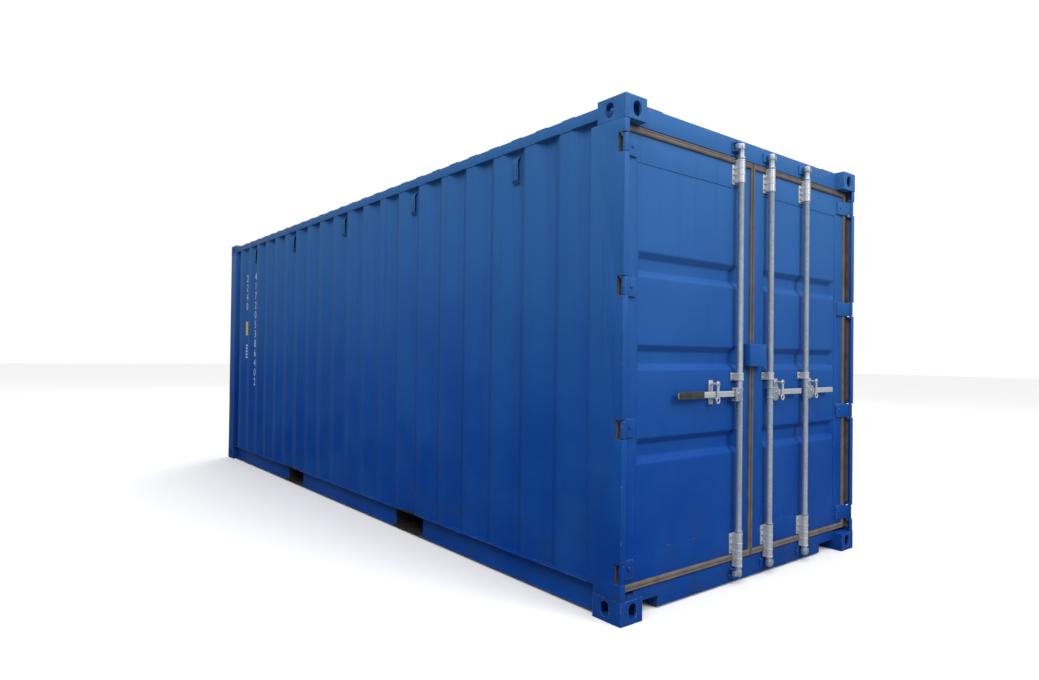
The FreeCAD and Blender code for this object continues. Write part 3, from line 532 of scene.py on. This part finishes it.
def sheetMesh(sheet, line, levels, place):
    # place turns run, depth outwards and level into a point
    bm = bmesh.new()
    layers = []
    for thick in (0.0, -sheet["thick"]):
        grid = []
        for level in levels:
            row = []
            for run, out in line:
                swell = sheet["swell"] * noise.noise(Vector((run * 2.2, level * 1.6, sheet["seed"])))
                row.append(bm.verts.new(place(run, out + thick + swell, level)))
            grid.append(row)
        layers.append(grid)
    closeShell(bm, *layers)
    return bm


def spread(low, high, count):
    return [low + (high - low) * index / count for index in range(count + 1)]


sideSheet = {"pitch": 278 * mm, "crest": 72 * mm, "slope": 68 * mm, "deep": 36 * mm, "edge": 128 * mm,
             "bend": 9 * mm, "thick": 2 * mm, "swell": 1.2 * mm, "seed": 3.0}
endSheet = {"pitch": 250 * mm, "crest": 110 * mm, "slope": 30 * mm, "deep": 43 * mm, "edge": 97 * mm,
            "bend": 9 * mm, "thick": 2 * mm, "swell": 1.0 * mm, "seed": 7.0}
roofSheet = {"pitch": 209 * mm, "crest": 91 * mm, "slope": 16 * mm, "deep": 16 * mm, "edge": 177 * mm,
             "bend": 5 * mm, "thick": 2 * mm, "swell": 1.0 * mm, "seed": 11.0}
for hand, sign in (("left", -1), ("right", 1)):
    low, high = boxOf("side_wall_" + hand)
    trough = (abs(low.x) if sign < 0 else high.x) - sideSheet["deep"]
    bm = sheetMesh(sideSheet, foldLine(sideSheet, low.y, high.y), spread(low.z, high.z, 22),
                   lambda run, out, level: (sign * (trough + min(out, sideSheet["deep"])), run, level))
    finishPiece("sideWall." + hand, bm, bluePaint, "frame", ("side_wall_" + hand,), 60)
low, high = boxOf("front_wall")
troughFront = high.y - endSheet["deep"]
bm = sheetMesh(endSheet, foldLine(endSheet, low.x, high.x), spread(low.z, high.z, 22),
               lambda run, out, level: (run, troughFront + min(out, endSheet["deep"]), level))
finishPiece("closedEnd", bm, bluePaint, "frame", ("front_wall",), 60)
low, high = boxOf("roof_panel")
troughRoof = high.z - roofSheet["deep"]
bm = sheetMesh(roofSheet, foldLine(roofSheet, low.y, high.y), spread(low.x, high.x, 14),
               lambda run, out, level: (level, run, troughRoof + min(out, roofSheet["deep"])))
finishPiece("roofSheet", bm, bluePaint, "frame", ("roof_panel",), 60)
print("sheets ready")

# castings, posts, rails: the frame's own solids with rounded edges; %s is left or right
hands = ("left", "right")
steelPieces = [
    ("corner_castings_top", "cornerCastings.top", castingPaint, 6.0),
    ("corner_castings_bottom", "cornerCastings.low", castingPaint, 6.0),
    ("door_post_%s", "doorPost.%s", postPaint, 4.0), ("front_post_%s", "frontPost.%s", postPaint, 4.0),
    ("door_header", "doorHeader", bluePaint, 3.0), ("door_sill", "doorSill", postPaint, 1.6),
    ("top_side_rail_%s", "topRail.%s", bluePaint, 2.5),
    ("bottom_side_rail_%s", "bottomRail.%s", postPaint, 1.4),
    ("front_top_rail", "frontRail", bluePaint, 2.0), ("front_sill", "frontSill", postPaint, 2.5),
    ("roof_corner_plates", "roofPlates", postPaint, 1.5), ("fork_pockets", "forkPockets", underCoat, 1.2),
    ("cross_members", "crossMembers", underCoat, 1.0), ("hinge_pins", "hingePins", castingPaint, 0.8),
    ("cam_keepers", "camKeepers", castingPaint, 1.8), ("vents_%s", "vents.%s", bluePaint, 0.6),
]
for nodeName, pieceName, material, width in steelPieces:
    for hand in hands if "%s" in nodeName else ("",):
        softened(nodeName.replace("%s", hand), pieceName.replace("%s", hand), material, "frame",
                 width * mm)
for hand in ("left", "right"):
    body = "door_" + hand
    softened("door_frame_" + hand, "doorFrame." + hand, bluePaint, body, 2.5 * mm)
    softened("hinge_blades_" + hand, "hingeBlades." + hand, castingPaint, body, 2.2 * mm)
    softened("handle_rests_" + hand, "handleRests." + hand, castZinc, body, 1.5 * mm)
softened("lock_box", "lockBox", bluePaint, "door_right", 2.5 * mm)
softened("lock_staple", "lockStaple", castingPaint, "door_left", 1.5 * mm)
for number in (1, 2, 3):
    softened("lock_bar_%d" % number, "lockBar.%d" % number, zincSteel, "bar_%d" % number,
             1.4 * mm)
    softened("lock_handle_%d" % number, "lockHandle.%d" % number, castZinc, "handle_%d" % number,
             1.4 * mm)
    softened("handle_catch_%d" % number, "handleCatch.%d" % number, castZinc, "catch_%d" % number,
             1.3 * mm)
softened("handle_grip", "handleGrip", gripPlastic, "handle_1", 3.0 * mm)
print("steel ready")

# pressed door panels
pressing = {"tall": 130 * mm, "pitch": 476 * mm, "margin": 6 * mm, "slope": 34 * mm, "deep": 28 * mm,
            "round": 6 * mm, "thick": 2 * mm, "inset": 2 * mm}


def softRamp(distance, slope, radius):
    # 0 outside, 1 inside, with rounded folds at both ends of the slope
    def hinge(value):
        return 0.25 * (value + radius) ** 2 / radius if abs(value) < radius else max(0.0, value)
    return (hinge(distance) - hinge(distance - slope)) / slope


def foldStations(low, high, folds, radius, spacing):
    marks = {low, high}
    for fold in folds:
        for part in (-1.0, -0.5, 0.0, 0.5, 1.0):
            place = fold + part * radius
            if low < place < high:
                marks.add(place)
    ordered = sorted(marks)
    full = []
    for first, second in zip(ordered, ordered[1:]):
        pieces = max(1, int((second - first) / spacing))
        full += [first + (second - first) * index / pieces for index in range(pieces)]
    return full + [high]


def doorPanel(hand):
    low, high = boxOf("door_panel_" + hand)
    face = low.y
    frameLow, frameHigh = boxOf("door_frame_" + hand)
    middle = (frameLow.z + frameHigh.z) / 2
    centres = [middle + index * pressing["pitch"] for index in (-1, 0, 1)]
    half = pressing["tall"] / 2
    sides = [low.x + pressing["margin"], low.x + pressing["margin"] + pressing["slope"],
             high.x - pressing["margin"] - pressing["slope"], high.x - pressing["margin"]]
    folds = []
    for centre in centres:
        folds += [centre - half, centre - half + pressing["slope"], centre + half - pressing["slope"],
                  centre + half]
    xs = foldStations(low.x, high.x, sides, pressing["round"], 60 * mm)
    zs = foldStations(low.z, high.z, folds, pressing["round"], 45 * mm)

    def depthAt(x, z):
        across = min(x - sides[0], sides[3] - x)
        best = 0.0
        for centre in centres:
            inside = min(across, half - abs(z - centre))
            best = max(best, softRamp(inside, pressing["slope"], pressing["round"] * 0.8))
        rim = min(x - low.x, high.x - x, z - low.z, high.z - z)
        oilCan = 1.1 * mm * noise.noise(Vector((x * 3.0, z * 2.0, 5.0 + low.x))) * min(1.0, rim / (60 * mm))
        return pressing["inset"] + best * pressing["deep"] + oilCan

    bm = bmesh.new()
    layers = []
    for thick in (0.0, pressing["thick"]):
        layers.append([[bm.verts.new((x, face + depthAt(x, z) + thick, z)) for x in xs] for z in zs])
    closeShell(bm, *layers)
    finishPiece("doorPanel." + hand, bm, bluePaint, "door_" + hand, ("door_panel_" + hand,),
                50)

    # weld round the panel, lying in the corner that its set-back makes
    bm = bmesh.new()
    y = face + 1.2 * mm
    corners = [(low.x, low.z), (high.x, low.z), (high.x, high.z), (low.x, high.z)]
    ring = []
    for (x0, z0), (x1, z1) in zip(corners, corners[1:] + corners[:1]):
        ring += steps((x0, y, z0), (x1, y, z1), 9 * mm)[:-1]
    addTube(bm, ring, 2.6 * mm, 6, 0.35, True)
    finishPiece("panelWeld." + hand, bm, bluePaint, "door_" + hand, (), 60)


for hand in ("left", "right"):
    doorPanel(hand)

# door seals: one rubber lip round each door, with a shallow groove
sealShape = [(0.0, 0.16), (0.06, 0.07), (0.18, 0.02), (0.34, 0.0), (0.50, 0.03), (0.62, 0.09), (0.70, 0.05),
             (0.82, 0.02),
             (0.94, 0.07), (1.0, 0.22), (0.98, 0.48), (0.80, 0.66), (0.62, 0.80), (0.5, 1.0), (0.25,
                                                                                               0.96), (0.0,
                                                                                                       0.9)]
for hand in ("left", "right"):
    low, high = boxOf("door_seal_" + hand)
    inLow, inHigh = boxOf("door_frame_" + hand)
    corners = [(inLow.x, inLow.z, low.x, low.z), (inHigh.x, inLow.z, high.x, low.z),
               (inHigh.x, inHigh.z, high.x, high.z), (inLow.x, inHigh.z, low.x, high.z)]
    bm = bmesh.new()
    sections = []
    for (ax, az, bx, bz), (cx, cz, dx, dz) in zip(corners, corners[1:] + corners[:1]):
        count = max(2, int((Vector((cx, cz)) - Vector((ax, az))).length / 0.09))
        for index in range(count):
            part = index / count
            sections.append((ax + (cx - ax) * part, az + (cz - az) * part, bx + (dx - bx) * part,
                             bz + (dz - bz) * part))
    rings = []
    for inX, inZ, outX, outZ in sections:
        wave = 0.35 * mm * noise.noise(Vector((outX * 7, outZ * 7, 2.0)))
        rings.append([bm.verts.new((inX + (outX - inX) * across,
                                    low.y + 0.4 * mm + wave + (high.y - low.y - 1 * mm) * back,
                                    inZ + (outZ - inZ) * across)) for across, back in sealShape])
    for ringA, ringB in zip(rings, rings[1:] + rings[:1]):
        bridge(bm, ringA, ringB)
    bmesh.ops.recalc_face_normals(bm, faces=bm.faces)
    finishPiece("doorSeal." + hand, bm, sealRubber, "door_" + hand, ("door_seal_" + hand,),
                50)
print("doors ready")

# brackets and guides: a bolted flange with a round nosed housing over the bar
doorFace = boxOf("door_frame_left")[0].y
barX = [-166 * mm, 166 * mm, 596 * mm]
bracketLook = {"barY": doorEnd + 24 * mm, "flangeOut": 46 * mm, "flangeThick": 6 * mm, "half": 22 * mm,
               "nose": 20 * mm, "bore": 17.4 * mm, "rib": 1.6 * mm, "ribTall": 8 * mm, "boltOut": 34 * mm,
               "boltSize": 8.5 * mm, "boltTall": 6 * mm}
barY = bracketLook["barY"]
flangeFace = doorFace - bracketLook["flangeThick"]
outward = (0, -1, 0)
bracketRows = [  # flange low and high, housing low and high, ribs, bolt rows
    ("barBrackets", (2310, 2425, 2320, 2455), (2322, 2366, 2402, 2445), (2334, 2368, 2402)),
    ("barBrackets", (180, 295, 105, 300), (107, 150, 192, 236, 290), (202, 238, 274)),
    ("barGuides", (1176, 1220, 1176, 1220), (1177, 1211), (1187, 1209)),
]


def housingLoop(x, grow):
    # round in front of the bar and square behind it, seen from above
    look = bracketLook
    half, nose = look["half"] + grow, look["nose"] + grow
    back = flangeFace - barY
    loop = [(half * math.cos(math.pi * step / 16), -nose * math.sin(math.pi * step / 16))
            for step in range(17)]
    loop += [(-half, back * 0.5), (-half, back), (-half * 0.5, back), (0, back), (half * 0.5, back),
             (half, back),
             (half, back * 0.5)]
    return [(x + across, barY + away) for across, away in loop]


def addHousing(bm, x, low, high, ribs):
    stations = [(low, 0.0)]
    for rib in ribs:
        rise, tall = bracketLook["rib"], bracketLook["ribTall"]
        stations += [(rib, 0.0), (rib + 1.2 * mm, rise), (rib + tall - 1.2 * mm, rise), (rib + tall, 0.0)]
    stations.append((high, 0.0))
    outer = [[bm.verts.new((px, py, z)) for px, py in housingLoop(x, grow)] for z, grow in stations]
    inner = []
    for ring in (outer[0], outer[-1]):
        row = []
        for vert in ring:
            aim = Vector((vert.co.x - x, vert.co.y - barY, 0)).normalized() * bracketLook["bore"]
            row.append(bm.verts.new((x + aim.x, barY + aim.y, vert.co.z)))
        inner.append(row)
    loops = [inner[0]] + outer + [inner[1]]
    for lower, upper in zip(loops, loops[1:] + loops[:1]):
        bridge(bm, lower, upper)
    bmesh.ops.recalc_face_normals(bm, faces=bm.faces)


for hand, bars in (("left", barX[:1]), ("right", barX[1:])):
    for kind in ("barBrackets", "barGuides"):
        bm = bmesh.new()
        bolts = bmesh.new()
        for x in bars:
            for name, spans, ribs, rows in bracketRows:
                if name != kind:
                    continue
                flangeLow, flangeHigh, low, high = (value * mm for value in spans)
                out = bracketLook["flangeOut"]
                addHousing(bm, x, low, high, [rib * mm for rib in ribs])
                addBlock(bm, (x - out, flangeFace, flangeLow), (x + out, doorFace, flangeHigh), 2 * mm, 2)
                for sign in (-1, 1):
                    for row in rows:
                        addBolt(bolts, (x + sign * bracketLook["boltOut"], flangeFace, row * mm), outward,
                                bracketLook["boltSize"], bracketLook["boltTall"])
        nodeName = ("bar_brackets_" if kind == "barBrackets" else "bar_guides_") + hand
        finishPiece(kind + "." + hand, bm, castZinc, "door_" + hand, (nodeName,), 40)
        finishPiece(kind[:-1] + "Bolts." + hand, bolts, zincSteel, "door_" + hand, (), 35)

hingeLook = {
    "lowest": 248, "highest": 2354, "count": 4, "pivotIn": 20 * mm, "bladeOut": 12 * mm, "rivetIn": 91 * mm,
    "rivetUp": 4 * mm, "bladeEnd": 127 * mm, "bladeStart": 46 * mm, "half": 44 * mm, "edge": 45 * mm,
    "bead": 3.5 * mm, "beadSet": 1 * mm, "beadStep": 6 * mm, "ripple": 0.4,
}
hingeHeights = [(hingeLook["lowest"] + index * (hingeLook["highest"] - hingeLook["lowest"]) / 3) * mm
                for index in range(hingeLook["count"])]
pivotX = halfWidth - hingeLook["pivotIn"]
bladeFace = doorFace - hingeLook["bladeOut"]
beadFace = doorFace - hingeLook["beadSet"]
for hand, sign in (("left", -1), ("right", 1)):
    bm = bmesh.new()
    for z in hingeHeights:
        addTurned(bm, (sign * (pivotX - hingeLook["rivetIn"]), bladeFace, z + hingeLook["rivetUp"]), outward,
                  [(11 * mm, 0), (11 * mm, 1.5 * mm), (8.5 * mm, 4.5 * mm), (3.5 * mm, 6 * mm)], 24)
        edge = sign * (pivotX - hingeLook["bladeEnd"])
        start = sign * (pivotX - hingeLook["bladeStart"])
        runs = [((edge, beadFace, z - hingeLook["half"]), (edge, beadFace, z + hingeLook["half"]))]
        for side in (-1, 1):
            level = z + side * hingeLook["edge"]
            runs.append(((edge, beadFace, level), (start, beadFace, level)))
        for first, last in runs:
            addTube(bm, steps(first, last, hingeLook["beadStep"]), hingeLook["bead"], 6, hingeLook["ripple"])
    finishPiece("hingeRivets." + hand, bm, castingPaint, "door_" + hand, (), 40)

# handle ends, hub pins and catch bosses
for number, (x, sign) in enumerate(zip(barX, (-1, 1, 1)), start=1):
    bm = bmesh.new()
    pivot = x + sign * 40 * mm
    addTurned(bm, (pivot, doorEnd + 6 * mm, 1102 * mm), outward,
              [(10 * mm, 0), (10 * mm, 1.5 * mm), (7 * mm, 3.5 * mm)], 24)
    for level in (1066, 1128):
        addTurned(bm, (x, barY, level * mm - 4 * mm), (0, 0, 1),
                  [(18 * mm, 0), (20 * mm, 2 * mm), (20 * mm, 6 * mm), (18 * mm, 8 * mm)], 28)
    finishPiece("hubPin.%d" % number, bm, zincSteel, "bar_%d" % number, (), 40)
    low, high = boxOf("handle_catch_%d" % number)
    centre = (low.x + high.x) / 2
    bm = bmesh.new()
    addTurned(bm, (centre, low.y + 0.5 * mm, 1160 * mm), outward,
              [(11 * mm, 0), (11 * mm, 1.2 * mm), (7.5 * mm, 3.2 * mm)], 24)
    body = "door_left" if number == 1 else "door_right"
    finishPiece("catchHead.%d" % number, bm, zincSteel, body, (), 40)
print("hardware ready")

# weld beads
weldLook = {"radius": 3.2 * mm, "step": 11 * mm, "ripple": 0.45}


def weld(name, runs, body, radius=None):
    bm = bmesh.new()
    for run in runs:
        addTube(bm, run, radius or weldLook["radius"], 6, weldLook["ripple"])
    return finishPiece(name, bm, bluePaint, body, (), 60)


wallTrough = halfWidth - 46 * mm
castingTall = 118 * mm
headerWeldX = 1057 * mm
for hand, sign in (("left", -1), ("right", 1)):
    low, high = boxOf("side_wall_" + hand)
    trough = wallTrough
    folds = foldLine(sideSheet, low.y, high.y)
    foot = [(sign * (trough + level + 1 * mm), run, low.z + 1 * mm) for run, level in folds]
    head = [(sign * (trough + level + 1 * mm), run, high.z - 1 * mm) for run, level in folds]
    weld("wallWeld." + hand, [foot, head], "frame", 3.5 * mm)
    face = sign * (halfWidth - 4.5 * mm)
    runs = []
    for z in (castingTall, totalHeight - castingTall):
        runs.append(steps((face, doorEnd + 8 * mm, z), (face, doorEnd + 176 * mm, z), weldLook["step"]))
        runs.append(steps((face, closedEnd - 8 * mm, z), (face, closedEnd - 174 * mm, z), weldLook["step"]))
    heel = doorEnd + 219 * mm
    runs.append(steps((sign * (trough + 1 * mm), heel, 162 * mm),
                      (sign * (trough + 1 * mm), heel, 2472 * mm), weldLook["step"]))
    weld("postWeld." + hand, runs, "frame")
runs = []
for low, high in ((2478 * mm, 2580 * mm), (74 * mm, castingTall)):
    for sign in (-1, 1):
        runs.append(steps((sign * headerWeldX, doorFace, low), (sign * headerWeldX, doorFace, high), 8 * mm))
weld("headerWeld", runs, "frame")
print("welds ready")

# floor boards
boards = {"long": 1210 * mm, "gap": 2 * mm, "lanes": 2, "screwPitch": 240 * mm}
low, high = boxOf("floor")
bm = bmesh.new()
y = low.y
laneWidth = (high.x - low.x) / boards["lanes"]
screws = bmesh.new()
while y < high.y - 1 * mm:
    end = min(y + boards["long"], high.y)
    for lane in range(boards["lanes"]):
        x = low.x + lane * laneWidth
        addBlock(bm, (x + boards["gap"] / 2, y + boards["gap"] / 2, low.z),
                 (x + laneWidth - boards["gap"] / 2, end - boards["gap"] / 2, high.z),
                 1.2 * mm, 1)
        place = x + 60 * mm
        while place < x + laneWidth - 30 * mm:
            for line in (y + 30 * mm, end - 30 * mm):
                addTurned(screws, (place, line, high.z - 0.6 * mm), (0, 0, 1),
                          [(6 * mm, 0), (6 * mm, 0.7 * mm), (4 * mm, 0.8 * mm)], 10)
            place += boards["screwPitch"]
    y = end
finishPiece("floorBoards", bm, plywood, "frame", ("floor",), 40)
finishPiece("floorScrews", screws, zincSteel, "frame", (), 40)

# vents: centre rivet, dark blocks of painted shade standing in for the slots, and a bead down each side
ventLook = {
    "count": 5, "first": -2202 * mm, "pitch": 1112 * mm, "rivetAt": 2398 * mm, "slotLow": 2350 * mm,
    "slotHigh": 2436 * mm, "slotHalf": 2.2 * mm, "slotOut": 13 * mm, "beadIn": 24 * mm, "beadOut": 27 * mm,
    "beadLow": 2312 * mm, "beadHigh": 2478 * mm, "beadStep": 8 * mm, "bead": 2.2 * mm, "ripple": 0.4,
}
for hand, sign in (("left", -1), ("right", 1)):
    low, high = boxOf("vents_" + hand)
    face = low.x if sign < 0 else high.x
    bm = bmesh.new()
    slotShade = bmesh.new()
    for index in range(ventLook["count"]):
        y = ventLook["first"] + index * ventLook["pitch"]
        addTurned(bm, (face, y, ventLook["rivetAt"]), (sign, 0, 0),
                  [(5 * mm, 0), (5 * mm, 1 * mm), (2.5 * mm, 3 * mm)], 16)
        # painted shade: a thin dark block where each slot is, in place of an open slot in shadow
        shadeSpan = (face - sign * 2 * mm, face + sign * 0.4 * mm)
        for shift in (-ventLook["slotOut"], ventLook["slotOut"]):
            addBlock(slotShade, (min(shadeSpan), y + shift - ventLook["slotHalf"], ventLook["slotLow"]),
                     (max(shadeSpan), y + shift + ventLook["slotHalf"], ventLook["slotHigh"]), 0.8 * mm, 1)
        rim = face - sign * ventLook["beadIn"]
        for side in (-1, 1):
            line = y + side * ventLook["beadOut"]
            bead = steps((rim, line, ventLook["beadLow"]), (rim, line, ventLook["beadHigh"]),
                         ventLook["beadStep"])
            addTube(bm, bead, ventLook["bead"], 6, ventLook["ripple"])
    finishPiece("ventRivets." + hand, bm, bluePaint, "frame", (), 50)
    finishPiece("ventSlits." + hand, slotShade, underCoat, "frame", (), 50)

# rubber strip on each door post, between the hinges, where the seal's lip closes
stripLook = {"front": 31 * mm, "back": 86 * mm, "thick": 1.5 * mm, "face": halfWidth - 6 * mm,
             "low": 140 * mm, "high": 2464 * mm, "clear": 68 * mm}
for hand, sign in (("left", -1), ("right", 1)):
    bm = bmesh.new()
    xs = sorted((sign * stripLook["face"], sign * (stripLook["face"] - stripLook["thick"])))
    lows = [stripLook["low"]] + [z + stripLook["clear"] for z in hingeHeights]
    highs = [z - stripLook["clear"] for z in hingeHeights] + [stripLook["high"]]
    for low, high in zip(lows, highs):
        addBlock(bm, (xs[0], doorEnd + stripLook["front"], low), (xs[1], doorEnd + stripLook["back"], high),
                 0.5 * mm, 1)
    finishPiece("postStrip." + hand, bm, sealRubber, "frame", (), 40)

# chips, a rust run on one casting and a few scuffs: thin ragged scales on the steel
patchLook = {"lift": 0.25 * mm, "rings": 3, "sides": 22}


def addPatch(bm, centre, normal, wide, tall, seed):
    # a low ragged dome; tall is measured up the surface
    normal = Vector(normal)
    upward = Vector((0, 0, 1)) if abs(normal.z) < 0.5 else Vector((0, 1, 0))
    sideways = upward.cross(normal)
    rings = []
    for ring in range(patchLook["rings"]):
        part = 1.0 - ring / patchLook["rings"]
        lift = patchLook["lift"] * (1.0 - part ** 2) + 0.03 * mm
        row = []
        for step in range(patchLook["sides"]):
            angle = 2 * math.pi * step / patchLook["sides"]
            rag = 1.0 + 0.45 * noise.noise(Vector((math.cos(angle) * 1.6, math.sin(angle) * 1.6, seed)))
            place = Vector(centre) + sideways * math.cos(angle) * wide / 2 * part * rag
            row.append(bm.verts.new(place + upward * math.sin(angle) * tall / 2 * part * rag + normal * lift))
        rings.append(row)
    for outer, inner in zip(rings, rings[1:]):
        bridge(bm, outer, inner)
    bm.faces.new(rings[-1])
    bm.faces.new(rings[0][::-1])


rust = bmesh.new()
for index, (drop, tall, wide) in enumerate(((22, 22, 5), (42, 26, 8), (66, 30, 6), (92, 26, 4),
                                            (106, 14, 7))):
    addPatch(rust, (-halfWidth + 0.3 * mm, doorEnd + 13 * mm, totalHeight - drop * mm), (-1, 0, 0),
             wide * mm,
             tall * mm, index)
for index in range(9):
    x = -1040 * mm + 260 * mm * (index + 0.6 * random.random())
    addPatch(rust, (x, doorFace, 2577 * mm - 5 * mm * random.random()), (0, -1, 0),
             60 * mm * random.random() + 12 * mm,
             3 * mm, 10 + index)
for index in range(14):
    z = (300 + 1900 * random.random()) * mm
    addPatch(rust, (-halfWidth + 0.3 * mm, doorEnd + 4.5 * mm, z), (-1, 0, 0), 3 * mm,
             (4 + 10 * random.random()) * mm, 30 + index)
finishPiece("rustMarks", rust, rustScale, "frame", (), 60)
scuffs = bmesh.new()
addPatch(scuffs, (-halfWidth + 0.3 * mm, -2874 * mm, 2322 * mm), (-1, 0, 0), 16 * mm, 30 * mm, 61)
addPatch(scuffs, (-halfWidth + 0.3 * mm, -2884 * mm, 2262 * mm), (-1, 0, 0), 9 * mm, 16 * mm, 62)
addPatch(scuffs, (-halfWidth + 0.3 * mm, doorEnd + 5 * mm, 676 * mm), (-1, 0, 0), 4 * mm, 14 * mm, 63)
addPatch(scuffs, (-halfWidth + 0.3 * mm, doorEnd + 5 * mm, 402 * mm), (-1, 0, 0), 4 * mm, 22 * mm, 64)
finishPiece("scuffMarks", scuffs, primerSpot, "frame", (), 60)

# plain markings: columns of numerals and two blank plates
markings = {"size": 118 * mm, "step": 108 * mm, "lift": 0.6 * mm, "top": 2110 * mm, "longAt": 2162 * mm,
            "shortAt": 2440 * mm, "plateLow": 1490 * mm, "plateHigh": 1650 * mm, "plateHalf": 36 * mm,
            "bars": 5, "barLow": 1225 * mm, "barTall": 20 * mm, "barPitch": 34 * mm, "barHalf": 28 * mm}


def numeralColumn(name, digits, y, top, size, stepDown, outX, hand):
    for index, digit in enumerate(digits):
        curve = bpy.data.curves.new("%s.%d" % (name, index), "FONT")
        curve.body = digit
        curve.size = size
        curve.extrude = 0.3 * mm
        curve.align_x = "CENTER"
        mark = bpy.data.objects.new("%s.%d" % (name, index), curve)
        bpy.context.collection.objects.link(mark)
        mark.rotation_euler = (math.radians(90), 0, math.radians(-90 if hand < 0 else 90))
        mark.location = (outX, y, top - index * stepDown)
        bpy.context.view_layer.update()
        mesh = bpy.data.meshes.new_from_object(mark.evaluated_get(bpy.context.evaluated_depsgraph_get()))
        mesh.transform(mark.matrix_world)
        mesh.materials.clear()
        mesh.materials.append(whiteVinyl)
        bpy.data.objects.remove(mark)
        piece = bpy.data.objects.new("%s.%d" % (name, index), mesh)
        bpy.context.collection.objects.link(piece)
        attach(piece, "frame")


crestX = -(halfWidth - 10 * mm + markings["lift"])
plateSpan = (crestX - 0.2 * mm, crestX + 0.5 * mm)
for name, digits, place in (("numeralsLong", "417205386402", markings["longAt"]),
                            ("numeralsShort", "2240", markings["shortAt"])):
    numeralColumn(name, digits, place, markings["top"], markings["size"], markings["step"], crestX, -1)
plates = bmesh.new()
middle = markings["shortAt"]
addBlock(plates, (plateSpan[0], middle - markings["plateHalf"], markings["plateLow"]),
         (plateSpan[1], middle + markings["plateHalf"], markings["plateHigh"]), 0.3 * mm, 1)
finishPiece("yellowPlate", plates, yellowVinyl, "frame", (), 40)
plates = bmesh.new()
for index in range(markings["bars"]):
    low = markings["barLow"] + index * markings["barPitch"]
    addBlock(plates, (plateSpan[0], middle - markings["barHalf"], low),
             (plateSpan[1], middle + markings["barHalf"], low + markings["barTall"]), 0.3 * mm, 1)
finishPiece("whiteBars", plates, whiteVinyl, "frame", (), 40)
print("markings ready")

# studio: pale floor, a sky that is brightest overhead, three soft lamps
studioLook = {"floorTone": 0.20, "seenTone": 0.93, "zenith": 1.20, "horizon": 0.34, "seenSky": 1.0,
              "keyPower": 620, "doorPower": 620, "backPower": 600,
              "exposure": 0.0}


def studioFloor():
    bm = bmesh.new()
    reach = 60
    bm.faces.new([bm.verts.new((x * reach, y * reach, 0)) for x, y in ((-1, -1), (1, -1), (1, 1), (-1, 1))])
    mesh = bpy.data.meshes.new("studioFloor")
    bm.to_mesh(mesh)
    bm.free()
    ground = bpy.data.objects.new("studioFloor", mesh)
    bpy.context.collection.objects.link(ground)
    material, tree, shader = newMaterial("studioFloor")
    seen = addNode(tree, "ShaderNodeLightPath").outputs["Is Camera Ray"]
    low, high = studioLook["floorTone"], studioLook["seenTone"]
    tree.links.new(mixColour(tree, seen, (low, low, low), (high, high, high)), shader.inputs["Base Color"])
    shader.inputs["Roughness"].default_value = 0.9
    mesh.materials.append(material)


def skyLight():
    world = bpy.data.worlds.new("sky")
    bpy.context.scene.world = world
    world.use_nodes = True
    tree = world.node_tree
    tree.nodes.clear()
    put = addNode(tree, "ShaderNodeOutputWorld")
    background = addNode(tree, "ShaderNodeBackground")
    split = addNode(tree, "ShaderNodeSeparateXYZ")
    tree.links.new(addNode(tree, "ShaderNodeTexCoord").outputs["Generated"], split.inputs[0])
    low, high = studioLook["horizon"], studioLook["zenith"]
    glow = mapRange(tree, split.outputs["Z"], 0.0, 0.9, low, high)
    seen = addNode(tree, "ShaderNodeLightPath").outputs["Is Camera Ray"]
    light = mixColour(tree, seen, glow, (studioLook["seenSky"],) * 3)
    tree.links.new(light, background.inputs["Color"])
    tree.links.new(background.outputs[0], put.inputs["Surface"])


def softLight(name, place, target, size, power):
    lamp = bpy.data.lights.new(name, "AREA")
    lamp.shape = "DISK"
    lamp.size = size
    lamp.energy = power
    holder = bpy.data.objects.new(name, lamp)
    holder.location = place
    holder.rotation_euler = (Vector(target) - Vector(place)).to_track_quat("-Z", "Y").to_euler()
    bpy.context.collection.objects.link(holder)


studioFloor()
skyLight()
softLight("keyLight", (-8, -7, 9), (0, -1, 1.2), 7.0, studioLook["keyPower"])
softLight("doorLight", (2, -12, 7), (0, -3, 1.2), 6.0, studioLook["doorPower"])
softLight("backLight", (9, 11, 8), (0, 1, 1.2), 8.0, studioLook["backPower"])
bpy.context.scene.view_settings.view_transform = "Standard"
bpy.context.scene.view_settings.exposure = studioLook["exposure"]

cameraLook = {"place": (-3.7655, -5.1162, 1.3107), "heading": -0.61229, "pitch": -0.010653, "roll": 0.013187,
              "lens": 22.77, "shiftX": 0.0764, "shiftY": 0.0060}
heading, pitch, roll = cameraLook["heading"], cameraLook["pitch"], cameraLook["roll"]
forward = Vector((-math.sin(heading) * math.cos(pitch), math.cos(heading) * math.cos(pitch),
                  -math.sin(pitch)))
level = forward.cross(Vector((0, 0, 1))).normalized()
upright = level.cross(forward)
across = level * math.cos(roll) + upright * math.sin(roll)
over = upright * math.cos(roll) - level * math.sin(roll)
lens = bpy.data.cameras.new("camera")
lens.lens = cameraLook["lens"]
lens.sensor_width = 36
lens.shift_x = cameraLook["shiftX"]
lens.shift_y = cameraLook["shiftY"]
camera = bpy.data.objects.new("camera", lens)
turn = Matrix((across, over, -forward)).transposed()
camera.matrix_world = Matrix.Translation(cameraLook["place"]) @ turn.to_4x4()
bpy.context.collection.objects.link(camera)
bpy.context.scene.camera = camera
print("camera ready")
